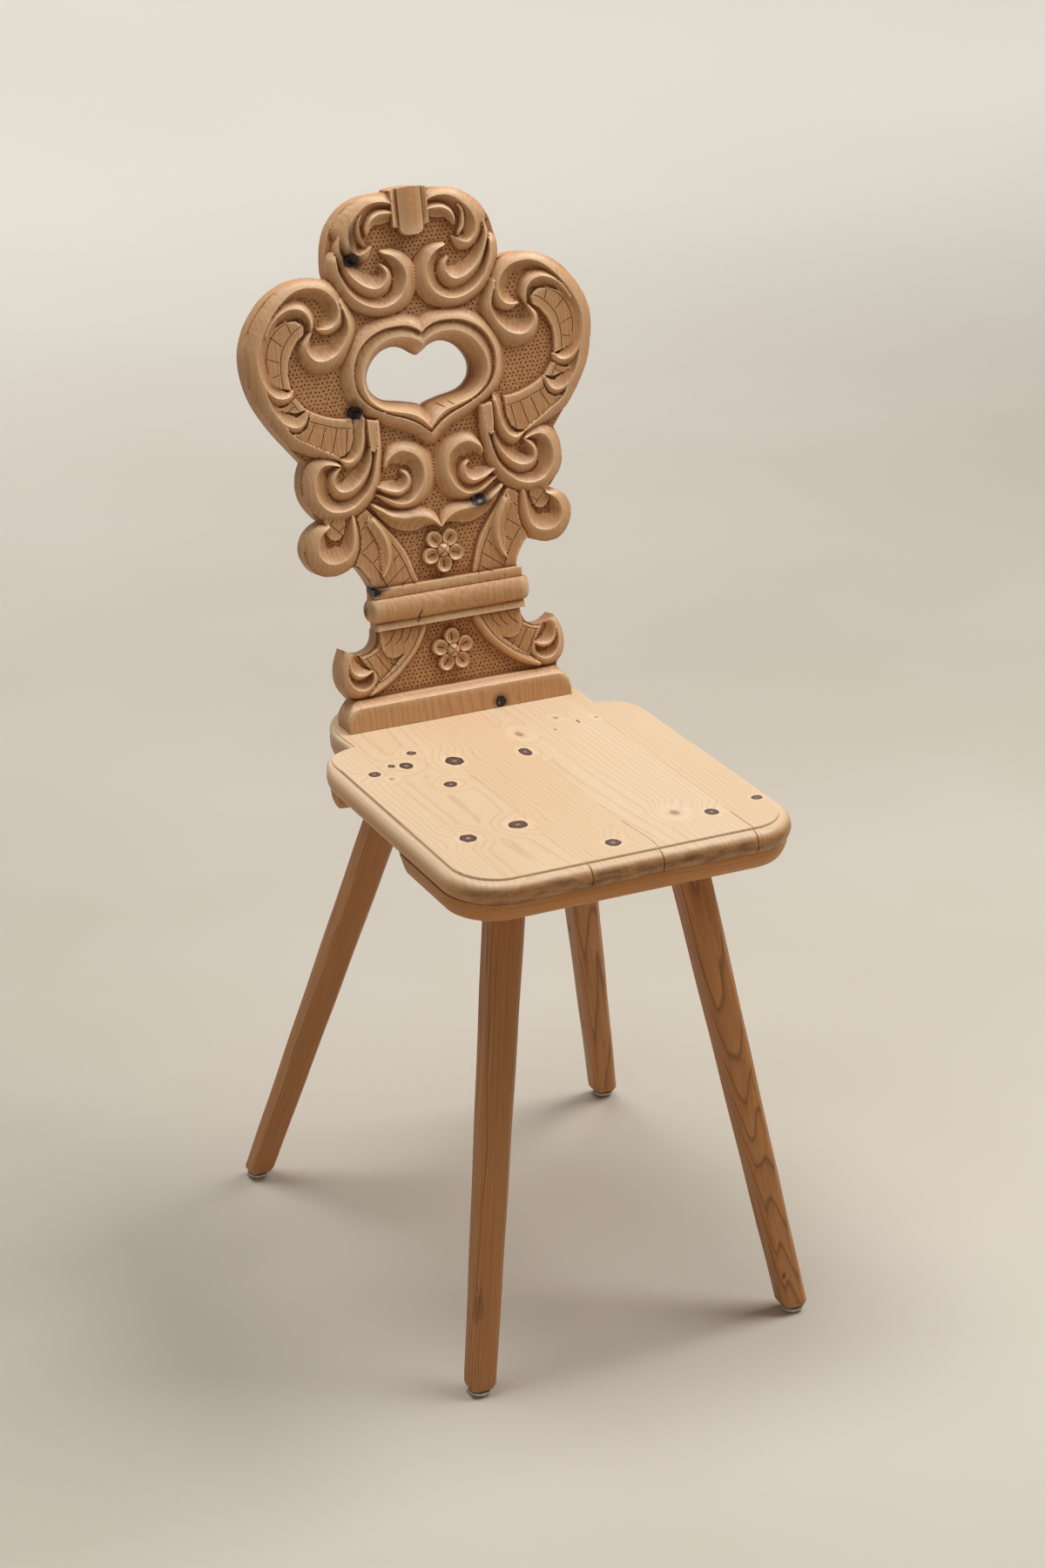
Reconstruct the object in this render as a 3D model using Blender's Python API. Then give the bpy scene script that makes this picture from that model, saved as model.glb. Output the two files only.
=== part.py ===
# Carved alpine board chair: a seat board on two battens, four splayed legs with plastic
# glides, and one carved back board tenoned and wedged through the seat.
# Metres, +Z up, floor at z = 0, the chair faces -Y. The carving is drawn in millimetres
# on the board: u to the right, v up the board from the seat.
import math

import bmesh
import bpy
import numpy as np
from mathutils import Vector
from mathutils.geometry import delaunay_2d_cdt

GAP = 0.0003
# One millimetre of the carving's drawing.
MM = 0.001

SEAT_TOP = 0.460
SEAT_THICK = 0.020
SEAT_HALF = 0.153
SEAT_FRONT = -0.232
SEAT_REAR = 0.2075
SHOULDER_Y = 0.0945
TONGUE_HALF = 0.1178
FRONT_CORNER = (0.046, 0.052)
BATTEN_THICK = 0.018
FRONT_BATTEN_REAR = -0.084
REAR_BATTEN_FRONT = 0.040

BACK_TILT = math.radians(9.94)
BACK_Y = 0.1225
BACK_THICK = 25.0
RIDGE = 7.0

BAND_V = (90.5, 112.0)
BAND_ENDS = (83.5, 119.5)
BAND_HALF = 66.2
BAND_DEEP = 9.0
TENON_U = (34.0, 76.0)
TENON_DEPTH = (6.0, 19.0)
TENON_END = -66.0
KEY_HALF = 0.006
KEY_REACH = 0.029
KEY_TALL = 0.0125
KEY_TAPER = 0.05

FRONT_FOOT = (0.1466, -0.2135)
FRONT_TOP = (0.0769, -0.1402)
REAR_FOOT = (0.1780, 0.2195)
REAR_TOP = (0.0759, 0.0772)
LEG_TOP_SIDE = 0.030
LEG_FOOT_SIDE = 0.0225
LEG_CHAMFER = 0.0050
LEG_TENON_R = 0.011
LEG_TENON_LONG = 0.0120
GLIDE_R = 0.0095
GLIDE_TALL = 0.0045
SHANK_R = 0.0015
SHANK_LONG = 0.012

SEAT_UNDER = SEAT_TOP - SEAT_THICK
BATTEN_TOP = SEAT_UNDER - GAP
BATTEN_UNDER = BATTEN_TOP - BATTEN_THICK
LEG_UNDER = GLIDE_TALL + GAP

# Each stroke is a cut ridge, in millimetres on the board: side of the rounded outer flank
# (+1 left of travel, -1 right), floor of the outer flank, floor of the inner hollow, then
# points of the ridge as (u, v, width of the outer flank, width of the inner hollow).
STROKES = [
    # side lobe, outer rim
    (1, 1.5, 1.0, [(92, 346.5, 2, 2), (86, 345.7, 5, 7), (80, 347.5, 6, 9), (76, 351.5, 7, 9),
     (73.8, 357, 6, 9), (73.8, 363, 6, 9), (76.5, 370, 9, 9), (82, 376.5, 9, 9), (90, 381, 8, 9),
     (102, 382.5, 7, 8.5), (112, 380.3, 7.5, 7.5), (121.7, 374.5, 8.5, 7), (130.8, 365.8, 9.5, 7.5),
     (139.2, 355, 10.5, 8.5), (145.8, 343.3, 11, 9), (149.7, 331.7, 11, 9), (150, 320, 11, 9),
     (147.5, 306.7, 11, 8.5), (145, 296.7, 11.5, 6), (140.5, 284.2, 12, 4), (132.5, 270.8, 11, 4),
     (125, 260, 10, 3), (111.7, 251.2, 9, 2.5), (98.3, 243.4, 7, 2), (87, 236.6, 3, 1.5)]),
    # side lobe, shallow hollow beside the upper strip
    (1, 6.9, 4.2, [(137, 358, 0.3, 8), (139.2, 355, 0.3, 8.5), (145.8, 343.3, 0.3, 9),
     (149.7, 331.7, 0.3, 9), (150, 320, 0.3, 9), (147.5, 306.7, 0.3, 8.5), (146, 300, 0.3, 7)]),
    # side lobe, first feather
    (1, 0.0, 1.5, [(99.5, 347, 2.5, 2), (99.6, 353, 5.5, 3), (102, 360, 7, 5), (107.5, 365, 7.5, 8),
     (115, 366.5, 7, 10), (122, 365, 6, 10), (130, 360.5, 4, 9), (137, 352.5, 2, 9), (141, 345, 1, 7)]),
    # side lobe, lower bowl
    (-1, 0.0, 1.0, [(71.5, 367, 6, 1), (67.8, 356, 8, 4), (66, 347, 9, 5), (67.5, 339, 9, 7),
     (72, 331, 10, 9), (80, 323.3, 12, 10.5), (90, 319.6, 11, 14), (98.5, 321, 10, 14),
     (104, 327, 8, 11), (105.4, 333.5, 6.5, 8), (103, 339, 4, 4), (99.5, 344.5, 1.5, 1)]),
    # upper feather bowl
    (-1, 0.0, 3.5, [(121.5, 298, 2, 1.5), (124.5, 294.6, 6, 4.5), (129, 293, 7.5, 7),
     (134, 293.5, 8, 8.5),
     (139, 296, 7, 8.5), (143, 300.5, 5, 8), (146, 308, 2, 6)]),
    # second feather bowl
    (-1, 0.0, 3.5, [(110.5, 279.6, 2, 1.5), (112.3, 274.5, 3.5, 5), (115.5, 270, 5, 8),
     (120, 267.6, 6.5, 10.5),
     (125, 268, 6.5, 10.5), (130, 270.5, 5, 9.5), (135, 274.5, 3, 8), (139, 280, 2, 5)]),
    # gouge at the end of the lower strip
    (-1, 0.0, 2.5, [(61, 266, 3, 7), (63, 258, 5, 7.5), (64.3, 250, 6, 7), (67, 241.5, 6.5, 7),
     (72, 234.5, 7, 6.5), (78.5, 231.8, 6.5, 5.5), (85.5, 235, 2, 1.5)]),
    # lower scroll, outer ridge
    (-1, 1.5, 1.5, [(49.5, 262, 4, 2), (50, 250, 4.5, 3), (51, 242, 5.5, 4), (53, 233, 6.5, 4),
     (55.5, 222, 7.5, 4),
     (59, 212, 8, 5), (64, 204, 8.5, 6), (70, 198.5, 9, 7), (77, 193.5, 9, 8), (85, 191, 8.5, 8.5),
     (92, 190.8, 8, 9), (99, 192.5, 9, 10), (105, 197, 9.5, 11), (109.5, 203.5, 10.5, 12),
     (111.3, 212, 10.5, 12), (110.5, 221, 10.5, 12), (107, 228, 10, 10), (101.5, 232, 7.5, 7),
     (95, 232, 6, 4), (89.5, 230.5, 4, 2), (86.5, 229.5, 2, 1)]),
    # lower scroll, inner bowl
    (-1, 0.0, 1.0, [(57.5, 240, 1.5, 2), (58.5, 233, 3, 5), (61, 226, 4.5, 7), (66, 218, 6, 9),
     (72, 212, 7, 12),
     (79, 208, 8.5, 15), (85.5, 207.3, 8.5, 16), (90.5, 209, 7.5, 13), (93.5, 213.5, 6, 9),
     (93.5, 219, 5.5, 7), (91, 223.5, 5, 5), (87, 227.5, 3, 2), (85.5, 228.5, 1.5, 1)]),
    # middle scroll, outer ridge
    (-1, 0.0, 1.5, [(45.5, 224, 2, 4), (43, 229, 4, 7), (38, 233, 7, 11), (33, 235, 8, 13),
     (28, 235, 8.5, 13.5),
     (22, 233, 9.5, 12), (17, 229.5, 11, 11), (13.5, 225, 12, 10.5), (11.5, 219, 12.5, 10),
     (11, 212, 13, 9.5),
     (12.5, 206, 13, 9), (15.5, 200, 12, 8.5), (20, 194.5, 10, 7.5), (26, 190.5, 7.5, 6.5),
     (32, 189.4, 5.5, 6), (38, 190.5, 5, 5.5), (45, 194, 4, 4.5), (51, 197.5, 2.5, 3),
     (56, 200.5, 1, 1)]),
    # middle scroll, inner bowl
    (-1, 0.0, 1.5, [(31, 217.5, 2, 1.5), (27.8, 214, 4.5, 4), (27, 209, 6.5, 8),
     (28.5, 204.5, 6.5, 10), (32, 201.5, 6, 11),
     (36, 200.5, 5.5, 11), (42, 201.5, 4.5, 9.5), (48, 203.8, 3.5, 7.5), (54, 207, 2, 4)]),
    # crest, outer rim
    (1, 1.5, 1.5, [(13, 441.5, 8, 5), (20, 444.5, 7, 6), (26, 445.7, 6.5, 6), (33, 445.6, 7, 7),
     (40, 443.5, 8, 9),
     (46, 439.5, 9, 10), (52, 434, 10.5, 10.5), (56, 428.5, 12, 10.5), (58.5, 422.5, 13.5, 12),
     (59.2, 417, 10, 13),
     (58, 411, 7, 12), (54, 405.5, 6.5, 9), (49.5, 403.5, 7, 7.5), (45, 404.8, 7.5, 5),
     (41, 407.2, 5, 2.5),
     (38, 409.3, 2, 1)]),
    # crest, thin edge between the rim's hollow and the ground
    (1, 1.5, 0.5, [(44, 436, 2, 2), (47, 431, 3, 2.5), (47.3, 425, 4, 2.5), (46.3, 418, 4, 2.5),
     (43, 412.5, 3, 2)]),
    # crest, small crescent
    (1, 0.0, 3.0, [(14, 434.3, 4.5, 6.5), (20, 435.6, 4.6, 8), (28, 435.4, 4.8, 9), (33.5, 433.2, 4.8, 8),
     (37.3, 429.5, 4.5, 6), (39.4, 424.5, 3.5, 4), (40.2, 420, 1.5, 1.5)]),
    # crest scroll, outer ridge
    (-1, 1.5, 1.5, [(28, 403, 3, 1.5), (22, 400.8, 5.5, 4), (17, 397.5, 8, 7), (13, 393, 9.5, 8),
     (10, 387.5, 11, 9.5),
     (9, 381, 12, 10.5), (10.5, 374, 12, 10), (14, 367.5, 11.5, 9), (19, 362.5, 10.5, 8),
     (26, 359, 9, 7.5),
     (34, 357.8, 8, 7.5), (42, 359, 7.5, 7.5), (50, 362.5, 7.5, 7), (57, 367.5, 8, 7),
     (63, 374.5, 8, 6.5),
     (67.5, 384, 8.5, 5), (70, 392, 9, 3), (70.5, 400, 9.5, 1)]),
    # crest scroll, inner ridge
    (-1, 1.0, 1.5, [(30.5, 392.5, 2, 1.5), (27.5, 388, 5, 3.5), (27, 383, 7, 7), (29, 378.5, 8, 10),
     (33, 375, 9, 12.5),
     (38, 374, 8.5, 13.5), (44, 375.5, 8, 12.5), (50, 378.8, 7, 11), (56, 384, 6, 9.5),
     (61, 390.5, 4.5, 8),
     (65, 399, 4, 7), (66.8, 406, 5, 5), (67, 412, 5, 3), (66.3, 420, 2, 0.8)]),
    # leaf at the centre tip
    (1, 0.0, 2.5, [(0.5, 165.2, 2, 0.8), (4, 169.3, 6, 3), (9, 173.4, 7.5, 7.5), (16, 176.3, 8, 11),
     (24, 177.3, 7.5, 13),
     (31, 177.2, 8, 12), (38, 178.4, 7.5, 10.5), (46, 181.2, 6, 8), (53, 186, 4.5, 5),
     (60.5, 191.3, 3, 1.5)]),
    # long leaf of the lower fan
    (-1, 2.0, 5.4, [(62, 178, 5, 6), (56, 168, 6.5, 7), (52.4, 158, 6.5, 7), (51.4, 149, 6, 7),
     (52.4, 141, 5, 6),
     (55, 134.5, 3.5, 4), (58.3, 129, 1, 1.5)]),
    # volute
    (-1, 1.5, 1.5, [(81, 183, 4.5, 4), (81, 172, 6.5, 7), (82, 163, 7.5, 9), (84, 156, 8, 12),
     (88, 151, 9.5, 14), (93, 148.5, 10.5, 17),
     (99, 147.3, 11, 17.5), (105, 148, 11, 17), (110, 151, 11, 16), (113.5, 156, 11, 13),
     (114.5, 162, 11, 10),
     (113, 169, 10.5, 8), (110, 174, 9, 6), (106, 177, 6, 3), (102.5, 179, 3, 1)]),
    # bottom wing, inner edge of the curved fillet
    (-1, 0.0, 6.0, [(24.5, 86, 5, 5), (26, 80, 5, 5), (29.5, 73, 5, 5.5), (36, 63, 5, 6),
     (44, 54.5, 5, 6), (54, 45.5, 5, 6),
     (64, 38.5, 5, 5), (74, 33.5, 5, 3), (80, 31, 4, 1)]),
    # bottom wing, volute rim
    (-1, 1.5, 1.5, [(76.5, 49.5, 1.5, 1), (76.3, 43, 4.5, 3), (79.5, 37.5, 6, 5), (85.5, 34.5, 7, 6),
     (92, 35.5, 8, 6.5),
     (97.5, 40.5, 8.5, 6.5), (100, 48, 7.5, 6), (99.5, 57, 7, 5), (97, 64.5, 6, 4),
     (94, 68.5, 4.5, 3), (90, 69.5, 3, 1.5)]),
    # bottom wing, inner bowl
    (-1, 1.0, 2.0, [(77, 50.3, 1, 1.5), (81, 48.3, 2.5, 4.5), (87, 47.3, 4, 9), (92.5, 49, 4.5, 10),
     (96.3, 54, 4, 9),
     (97, 61, 3, 7), (94.5, 66.5, 2, 4)]),
]

# Flat raised pieces: height, then the outline.
FLATS = [
    (6.9, [(48.8, 264), (49.5, 250), (51, 241), (54, 236), (57.5, 238.5), (58.6, 246), (59, 256),
     (58.5, 266)]),
    (4.7, [(104.5, 350), (106, 343), (112, 339), (118, 331), (122, 322), (123.3, 312), (122.5, 303),
           (121.8, 298.5), (129, 300.5), (138, 303.5), (144.5, 310), (146, 320), (146, 331), (142.5, 342),
           (134, 351.5), (122, 356.5), (112, 356.5), (107, 353)]),
    (4.6, [(110.5, 281), (115, 287), (119, 292), (123, 290.5), (127, 287.5), (131, 286), (138, 286),
     (143, 288),
           (137, 283), (127, 280.5), (121, 279), (115, 279.5)]),
    (4.9, [(70.5, 268.5), (78, 268.8), (86, 270.3), (95, 273.2), (103, 277), (109, 280.5),
     (109.5, 273), (113, 265.5),
           (119, 262), (127, 263), (124, 259.5), (111, 250.6), (98, 242.8), (87, 236), (80, 238),
           (75, 242),
           (71.5, 250), (70.5, 260)]),
    (4.0, [(24.5, 118), (27.5, 128), (31, 140), (35, 150), (40, 158), (46, 166), (50, 171), (58, 180),
     (66, 189.5),
           (73, 186), (76.5, 183), (75, 175), (74.5, 165), (76, 155), (80, 147), (82, 143),
           (78, 140.5), (75, 136),
           (70, 128), (67, 118)]),
    (3.6, [(86, 187), (86.5, 178), (89, 171), (93, 167), (98, 166.2), (102, 168.5), (105, 173),
     (105.5, 180),
           (106.5, 188)]),
    (5.6, [(29.5, 86), (31, 77), (35.5, 68.5), (42, 62), (50, 58.3), (57, 57), (62.5, 59.5), (66.2, 65),
           (67.5, 73), (66.5, 86)]),
    (3.7, [(28, 84), (32, 72), (40, 60), (50, 51), (60, 43.5), (74, 35), (77, 38), (76.5, 49.5), (80, 53),
           (85, 60), (88, 67), (84, 63.5), (77, 64.8), (70, 69), (66, 77), (64, 84)]),
]

# The heart: edge of the opening at the back, lip, outer ridge; half outlines.
HEART_HOLE = [(0, 312), (4, 314), (12, 319.3), (21, 321.7), (30, 320), (38, 315.2), (44, 308),
(47.8, 299), (47, 290),
              (43.3, 284), (37, 279), (28, 276.3), (20, 275), (12, 273.2), (4, 271), (0, 268.5)]
HEART_LIP = [(0, 323), (4, 326.5), (12, 330), (22, 331.5), (33, 330), (43, 325), (50.5, 317.5),
(56, 307.5), (58, 298),
             (56.8, 289), (51.5, 279.5), (41, 272), (28, 268), (16, 264.5), (8, 259.5), (2, 253.5),
             (0, 251)]
HEART_RIDGE = [(0, 333), (5, 337), (14, 340.5), (26, 341), (38, 339.2), (50, 333.5), (59, 325),
(64.5, 314),
               (66.3, 304), (65, 292), (60, 282), (50, 273.2), (36, 266), (20, 259.6), (8, 252.5),
               (0, 245.5)]

OUTLINE = [
    [(105.5, 4), (105.5, 11)], [(105.5, 11), (103.5, 17), (99, 22.5), (96, 25.5)],
    [(96, 25.5), (99, 29), (104, 37), (106, 45), (106, 52), (104.3, 60), (101.5, 66.5), (99.5, 71)],
    [(99.5, 71), (93, 66.8), (86, 64.8), (78, 66), (72, 70), (69, 76), (68, 83.5)],
    [(68, 83.5), (69.5, 83.5)], [(69.5, 83.5), (69.5, 90.5)],
    [(69.5, 90.5), (73.5, 92.3), (76.3, 97), (76.8, 101.3), (76.3, 105.6), (73.5, 110.3), (69.5, 112)],
    [(69.5, 112), (69.5, 119.5)], [(69.5, 119.5), (66.5, 119.5)],
    [(66.5, 119.5), (70.5, 128), (76, 137), (81.5, 142)],
    [(81.5, 142), (88, 139.5), (95, 137.2), (102.5, 136.3), (110.5, 137.5), (117.5, 142),
     (122.5, 149), (125.3, 157),
     (125, 165), (121.5, 173), (116, 178.5), (111, 181.5), (106.5, 183.5)],
    [(106.5, 183.5), (110, 187), (114.8, 193), (119.6, 201.5), (121.8, 211), (121.4, 220.5),
     (119.5, 228), (116.5, 235)],
    [(116.5, 235), (129.2, 251.2), (139.2, 264.5), (147.5, 277.8), (154.2, 291), (158.3, 304.5),
     (160.3, 316.5),
     (160.6, 325), (160, 333), (157.5, 343), (152.5, 354.5), (146, 364), (138.5, 372.5), (131, 378.7),
     (123.5, 383),
     (115, 386.6), (106, 388.6), (96, 389.2), (86, 388.2), (77.5, 386)],
    [(77.5, 386), (78.7, 392), (78.4, 399), (77.7, 406), (76.5, 413), (74.8, 419.5), (71.9, 426.5),
     (67.6, 433),
     (61.5, 439.6), (55, 444.6), (48, 448.2), (39.7, 450.8), (30, 452), (22, 452.3), (16.5, 452.3)],
    [(16.5, 452.3), (16.5, 454), (10.5, 455.2), (0, 456)],
]


def spline(points, closed=False, steps=5):
    p = np.array(points, float)
    n = len(p)
    rows = []
    for i in range(n if closed else n - 1):
        if closed:
            a, b, c, d = p[(i - 1) % n], p[i], p[(i + 1) % n], p[(i + 2) % n]
        else:
            a, b, c, d = p[max(i - 1, 0)], p[i], p[i + 1], p[min(i + 2, n - 1)]
        for k in range(steps):
            t = k / steps
            rows.append(0.5 * (2 * b + (c - a) * t + (2 * a - 5 * b + 4 * c - d) * t * t
                               + (3 * b - a - 3 * c + d) * t ** 3))
    if not closed:
        rows.append(p[-1])
    return np.array(rows)


def mirror_loop(half):
    line = spline(half)
    return np.vstack([line, (line * [-1, 1])[-2:0:-1]])


def nearest(p, line):
    """Distance, side and the further columns at the nearest point of a line."""
    best = np.full(len(p), 1e9)
    side = np.zeros(len(p))
    more = np.zeros((len(p), line.shape[1] - 2))
    for a, b in zip(line[:-1], line[1:]):
        d = b[:2] - a[:2]
        l2 = d @ d
        if l2 == 0:
            continue
        r = p - a[:2]
        t = np.clip((r @ d) / l2, 0, 1)
        q = r - t[:, None] * d
        dist = np.hypot(q[:, 0], q[:, 1])
        m = dist < best
        best[m] = dist[m]
        side[m] = np.sign(d[0] * r[m, 1] - d[1] * r[m, 0])
        more[m] = a[2:] + t[m, None] * (b[2:] - a[2:])
    return best, side, more


def inside(p, loop):
    x, y = p[:, 0], p[:, 1]
    result = np.zeros(len(p), bool)
    a = loop[-1]
    for b in loop:
        if a[1] != b[1]:
            m = (a[1] > y) != (b[1] > y)
            result ^= m & (x < (b[0] - a[0]) * (y - a[1]) / (b[1] - a[1]) + a[0])
        a = b
    return result


def closed(loop):
    return np.vstack([loop, loop[:1]])


def smooth(t):
    t = np.clip(t, 0, 1)
    return t * t * (3 - 2 * t)


def relief(uv):
    """Height of the carved face above its ground, in millimetres."""
    p = np.array(uv, float)
    full_u = p[:, 0].copy()
    u = np.abs(full_u)
    v = p[:, 1]
    p = np.stack([u, v], 1)
    h = np.zeros(len(p))
    for height, outline in FLATS:
        o = np.array(outline, float)
        m = np.where((u > o[:, 0].min() - 1) & (u < o[:, 0].max() + 1) & (v > o[:, 1].min() - 1)
                     & (v < o[:, 1].max() + 1))[0]
        if len(m) == 0:
            continue
        q = p[m]
        inn = inside(q, o)
        d, _, _ = nearest(q, closed(o))
        h[m] = np.maximum(h[m], np.where(inn, height * smooth(0.3 + d / 1.4), 0))
    for side, out_floor, in_floor, points in STROKES:
        line = spline(points, steps=4)
        reach = line[:, 2:].max()
        lo, hi = line[:, :2].min(0) - reach, line[:, :2].max(0) + reach
        m = np.where((u > lo[0]) & (u < hi[0]) & (v > lo[1]) & (v < hi[1]))[0]
        if len(m) == 0:
            continue
        d, s, w = nearest(p[m], line)
        outer = s * side >= 0
        so = d / np.maximum(w[:, 0], 0.3)
        si = d / np.maximum(w[:, 1], 0.3)
        ho = 7.0 - (7.0 - out_floor) * (0.3 * so + 0.7 * so * so)
        hi_ = in_floor + (7.0 - in_floor) * np.clip(1 - si, 0, 1) ** 2
        value = np.where(outer, np.where(so <= 1, ho, -99), np.where(si <= 1, hi_, -99))
        h[m] = np.maximum(h[m], value)
    # heart frame
    ridge, lip, hole = (mirror_loop(c) for c in (HEART_RIDGE, HEART_LIP, HEART_HOLE))
    m = np.where((u < 80) & (v > 232) & (v < 356))[0]
    q = p[m]
    full = q
    in_ridge, in_lip, in_hole = (inside(full, c) for c in (ridge, lip, hole))
    dr = nearest(full, closed(ridge))[0]
    dl = nearest(full, closed(lip))[0]
    dh = nearest(full, closed(hole))[0]
    outside = np.where(dr < 9.6, 7.0 * (1 - (dr / 9.6) ** 1.6), -99)
    t = dl / (dl + dr + 1e-9)
    groove = np.where(t < 0.8, 6.2 - 3.4 * (t / 0.8) ** 1.4, 2.8 + 4.2 * (t - 0.8) / 0.2)
    t = dh / (dh + dl + 1e-9)
    splay = -13.0 + 19.2 * t ** 0.75
    hm = np.where(in_hole, -13.0, np.where(in_lip, splay, np.where(in_ridge, groove, outside)))
    h[m] = np.where(in_ridge, hm, np.maximum(h[m], hm))
    # moulded band
    m = (v >= BAND_ENDS[0]) & (v <= BAND_ENDS[1])
    middle, reach = sum(BAND_V) / 2, (BAND_V[1] - BAND_V[0]) / 2 + 0.15
    torus = 6.4 + 6.2 * np.sqrt(np.clip(1 - ((v - middle) / reach) ** 2, 0, 1))
    end = 10 - np.sqrt(np.clip(100 - np.clip(u - 66.8, 0, 10) ** 2, 0, 100))
    lower = 9.4 - 1.8 * smooth((v - BAND_V[0] + 5.5) / 5.5)
    prof = np.where(v > BAND_V[1], 9.2, np.where(v < BAND_V[0], lower, torus - end))
    h[m] = prof[m]
    # base block
    m = v < 26.5
    corner = np.hypot(np.clip(u - 93, 0, 99), np.clip(v - 8, 0, 99))
    edge = np.minimum(26.5 - v, np.where((u > 93) & (v > 8), 18.0 - corner, 99))
    h[m] = (3.0 + 7.4 * np.clip(edge / 6.0, 0, 1))[m]
    # keystone
    a = np.clip(v - 414.5 - 4.5 * (u / 10.5) ** 4, 0, 9)
    mid = (u < 10.5) & (a > 0)
    h[mid] = (smooth(0.2 + a / 1.5) * (10.2 - 2.2 * (u / 10.5) ** 2))[mid]
    b = v - 421 - 0.3 * (u - 10.5)
    flank = (u >= 10.5) & (u < 16.3) & (b > 0)
    h[flank] = (smooth(0.2 + b / 1.5) * (5.6 + 0.35 * (u - 10.5)))[flank]
    # flowers
    for centre, turn in ((144.3, -90.0), (56.0, 90.0)):
        x, y = full_u, v - centre
        r = np.hypot(x, y)
        m = r < 21
        ang = np.degrees(np.arctan2(y, x))
        k = np.round((ang - turn) / 72.0)
        c = np.radians(turn + 72.0 * k)
        px = x * np.cos(c) + y * np.sin(c) - 12.2
        py = -x * np.sin(c) + y * np.cos(c)
        e = np.hypot(px / 8.0, py / 7.5)
        dish = 5.8 - 2.8 * (1 - (e / 0.86) ** 2)
        petal = np.where(e > 0.86, 5.8 * smooth((1.01 - e) / 0.15), dish)
        dome = 2.6 + 5.6 * np.sqrt(np.clip(1 - (r / 6.4) ** 2, 0, 1))
        h[m] = np.maximum(h, petal)[m]
        inner = r < 6.4
        h[inner] = dome[inner]
    return h


def outline_loop(steps):
    pts = []
    for run in OUTLINE:
        line = spline(run, steps=steps) if len(run) > 2 else np.array(run, float)
        pts.extend(line[:-1])
    pts.append(np.array(OUTLINE[-1][-1], float))
    right = np.array(pts)
    left = (right * [-1, 1])[::-1]
    return np.vstack([right, left[1:]])


def board_point(u, v, depth):
    """A point of the leaning back board; depth runs backwards from the ridges."""
    u, v, depth = u * MM, v * MM, depth * MM
    s, c = math.sin(BACK_TILT), math.cos(BACK_TILT)
    return Vector((u, BACK_Y + v * s + depth * c, SEAT_TOP + v * c - depth * s))


def board_foot(depth):
    """The v at which the board meets the seat, at a given depth."""
    return (GAP / MM + depth * math.sin(BACK_TILT)) / math.cos(BACK_TILT)


def material(name, colour, rough):
    made = bpy.data.materials.new(name)
    made.use_nodes = True
    shader = made.node_tree.nodes["Principled BSDF"]
    shader.inputs["Base Color"].default_value = (*colour, 1.0)
    shader.inputs["Roughness"].default_value = rough
    shader.inputs["Metallic"].default_value = 0.0
    return made


def new_object(name, bm, mat):
    mesh = bpy.data.meshes.new(name)
    bmesh.ops.recalc_face_normals(bm, faces=bm.faces)
    bm.to_mesh(mesh)
    bm.free()
    made = bpy.data.objects.new(name, mesh)
    bpy.context.scene.collection.objects.link(made)
    if mat:
        mesh.materials.append(mat)
    return made


def boolean(target, cutter, operation):
    cutter.hide_render = True
    cutter.display_type = "WIRE"
    step = target.modifiers.new(operation + "_" + cutter.name, "BOOLEAN")
    step.operation = operation
    step.solver = "EXACT"
    step.object = cutter


def loft(name, loops, mat):
    """A solid from closed loops of the same length, the first and last one capped."""
    bm = bmesh.new()
    rows = [[bm.verts.new(p) for p in loop] for loop in loops]
    n = len(rows[0])
    for low, high in zip(rows[:-1], rows[1:]):
        for i in range(n):
            j = (i + 1) % n
            bm.faces.new((low[i], low[j], high[j], high[i]))
    bm.faces.new(rows[0][::-1])
    bm.faces.new(rows[-1])
    return new_object(name, bm, mat)


def rod(name, start, end, radius, mat, sides=20):
    axis = (end - start).normalized()
    across = axis.cross(Vector((0.0, 1.0, 0.0))).normalized()
    other = axis.cross(across)
    loops = []
    for centre in (start, end):
        turn = [2 * math.pi * k / sides for k in range(sides)]
        loops.append([centre + radius * (math.cos(a) * across + math.sin(a) * other) for a in turn])
    return loft(name, loops, mat)


class Cloud:
    """Points of the carved face, kept a least distance apart."""

    def __init__(self):
        self.points = []
        self.cells = {}
        self.chains = []

    def free(self, u, v, apart):
        a, b = int(u // 4), int(v // 4)
        for i in range(a - 1, a + 2):
            for j in range(b - 1, b + 2):
                for x, y in self.cells.get((i, j), ()):
                    if (x - u) ** 2 + (y - v) ** 2 < apart * apart:
                        return False
        return True

    def add(self, u, v, apart):
        if apart > 0 and not self.free(u, v, apart):
            return None
        self.points.append((u, v))
        self.cells.setdefault((int(u // 4), int(v // 4)), []).append((u, v))
        return len(self.points) - 1


def thin(line, spacing):
    """Points of a line at about even steps."""
    keep = [line[0]]
    for row in line[1:-1]:
        if math.hypot(row[0] - keep[-1][0], row[1] - keep[-1][1]) >= spacing:
            keep.append(row)
    keep.append(line[-1])
    return np.array(keep)


def beside(line, offset):
    """A line moved to its left by an offset for each point."""
    d = np.gradient(line[:, :2], axis=0)
    d /= np.hypot(d[:, 0], d[:, 1])[:, None] + 1e-9
    return line[:, :2] + np.stack([-d[:, 1], d[:, 0]], 1) * offset[:, None]


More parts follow.
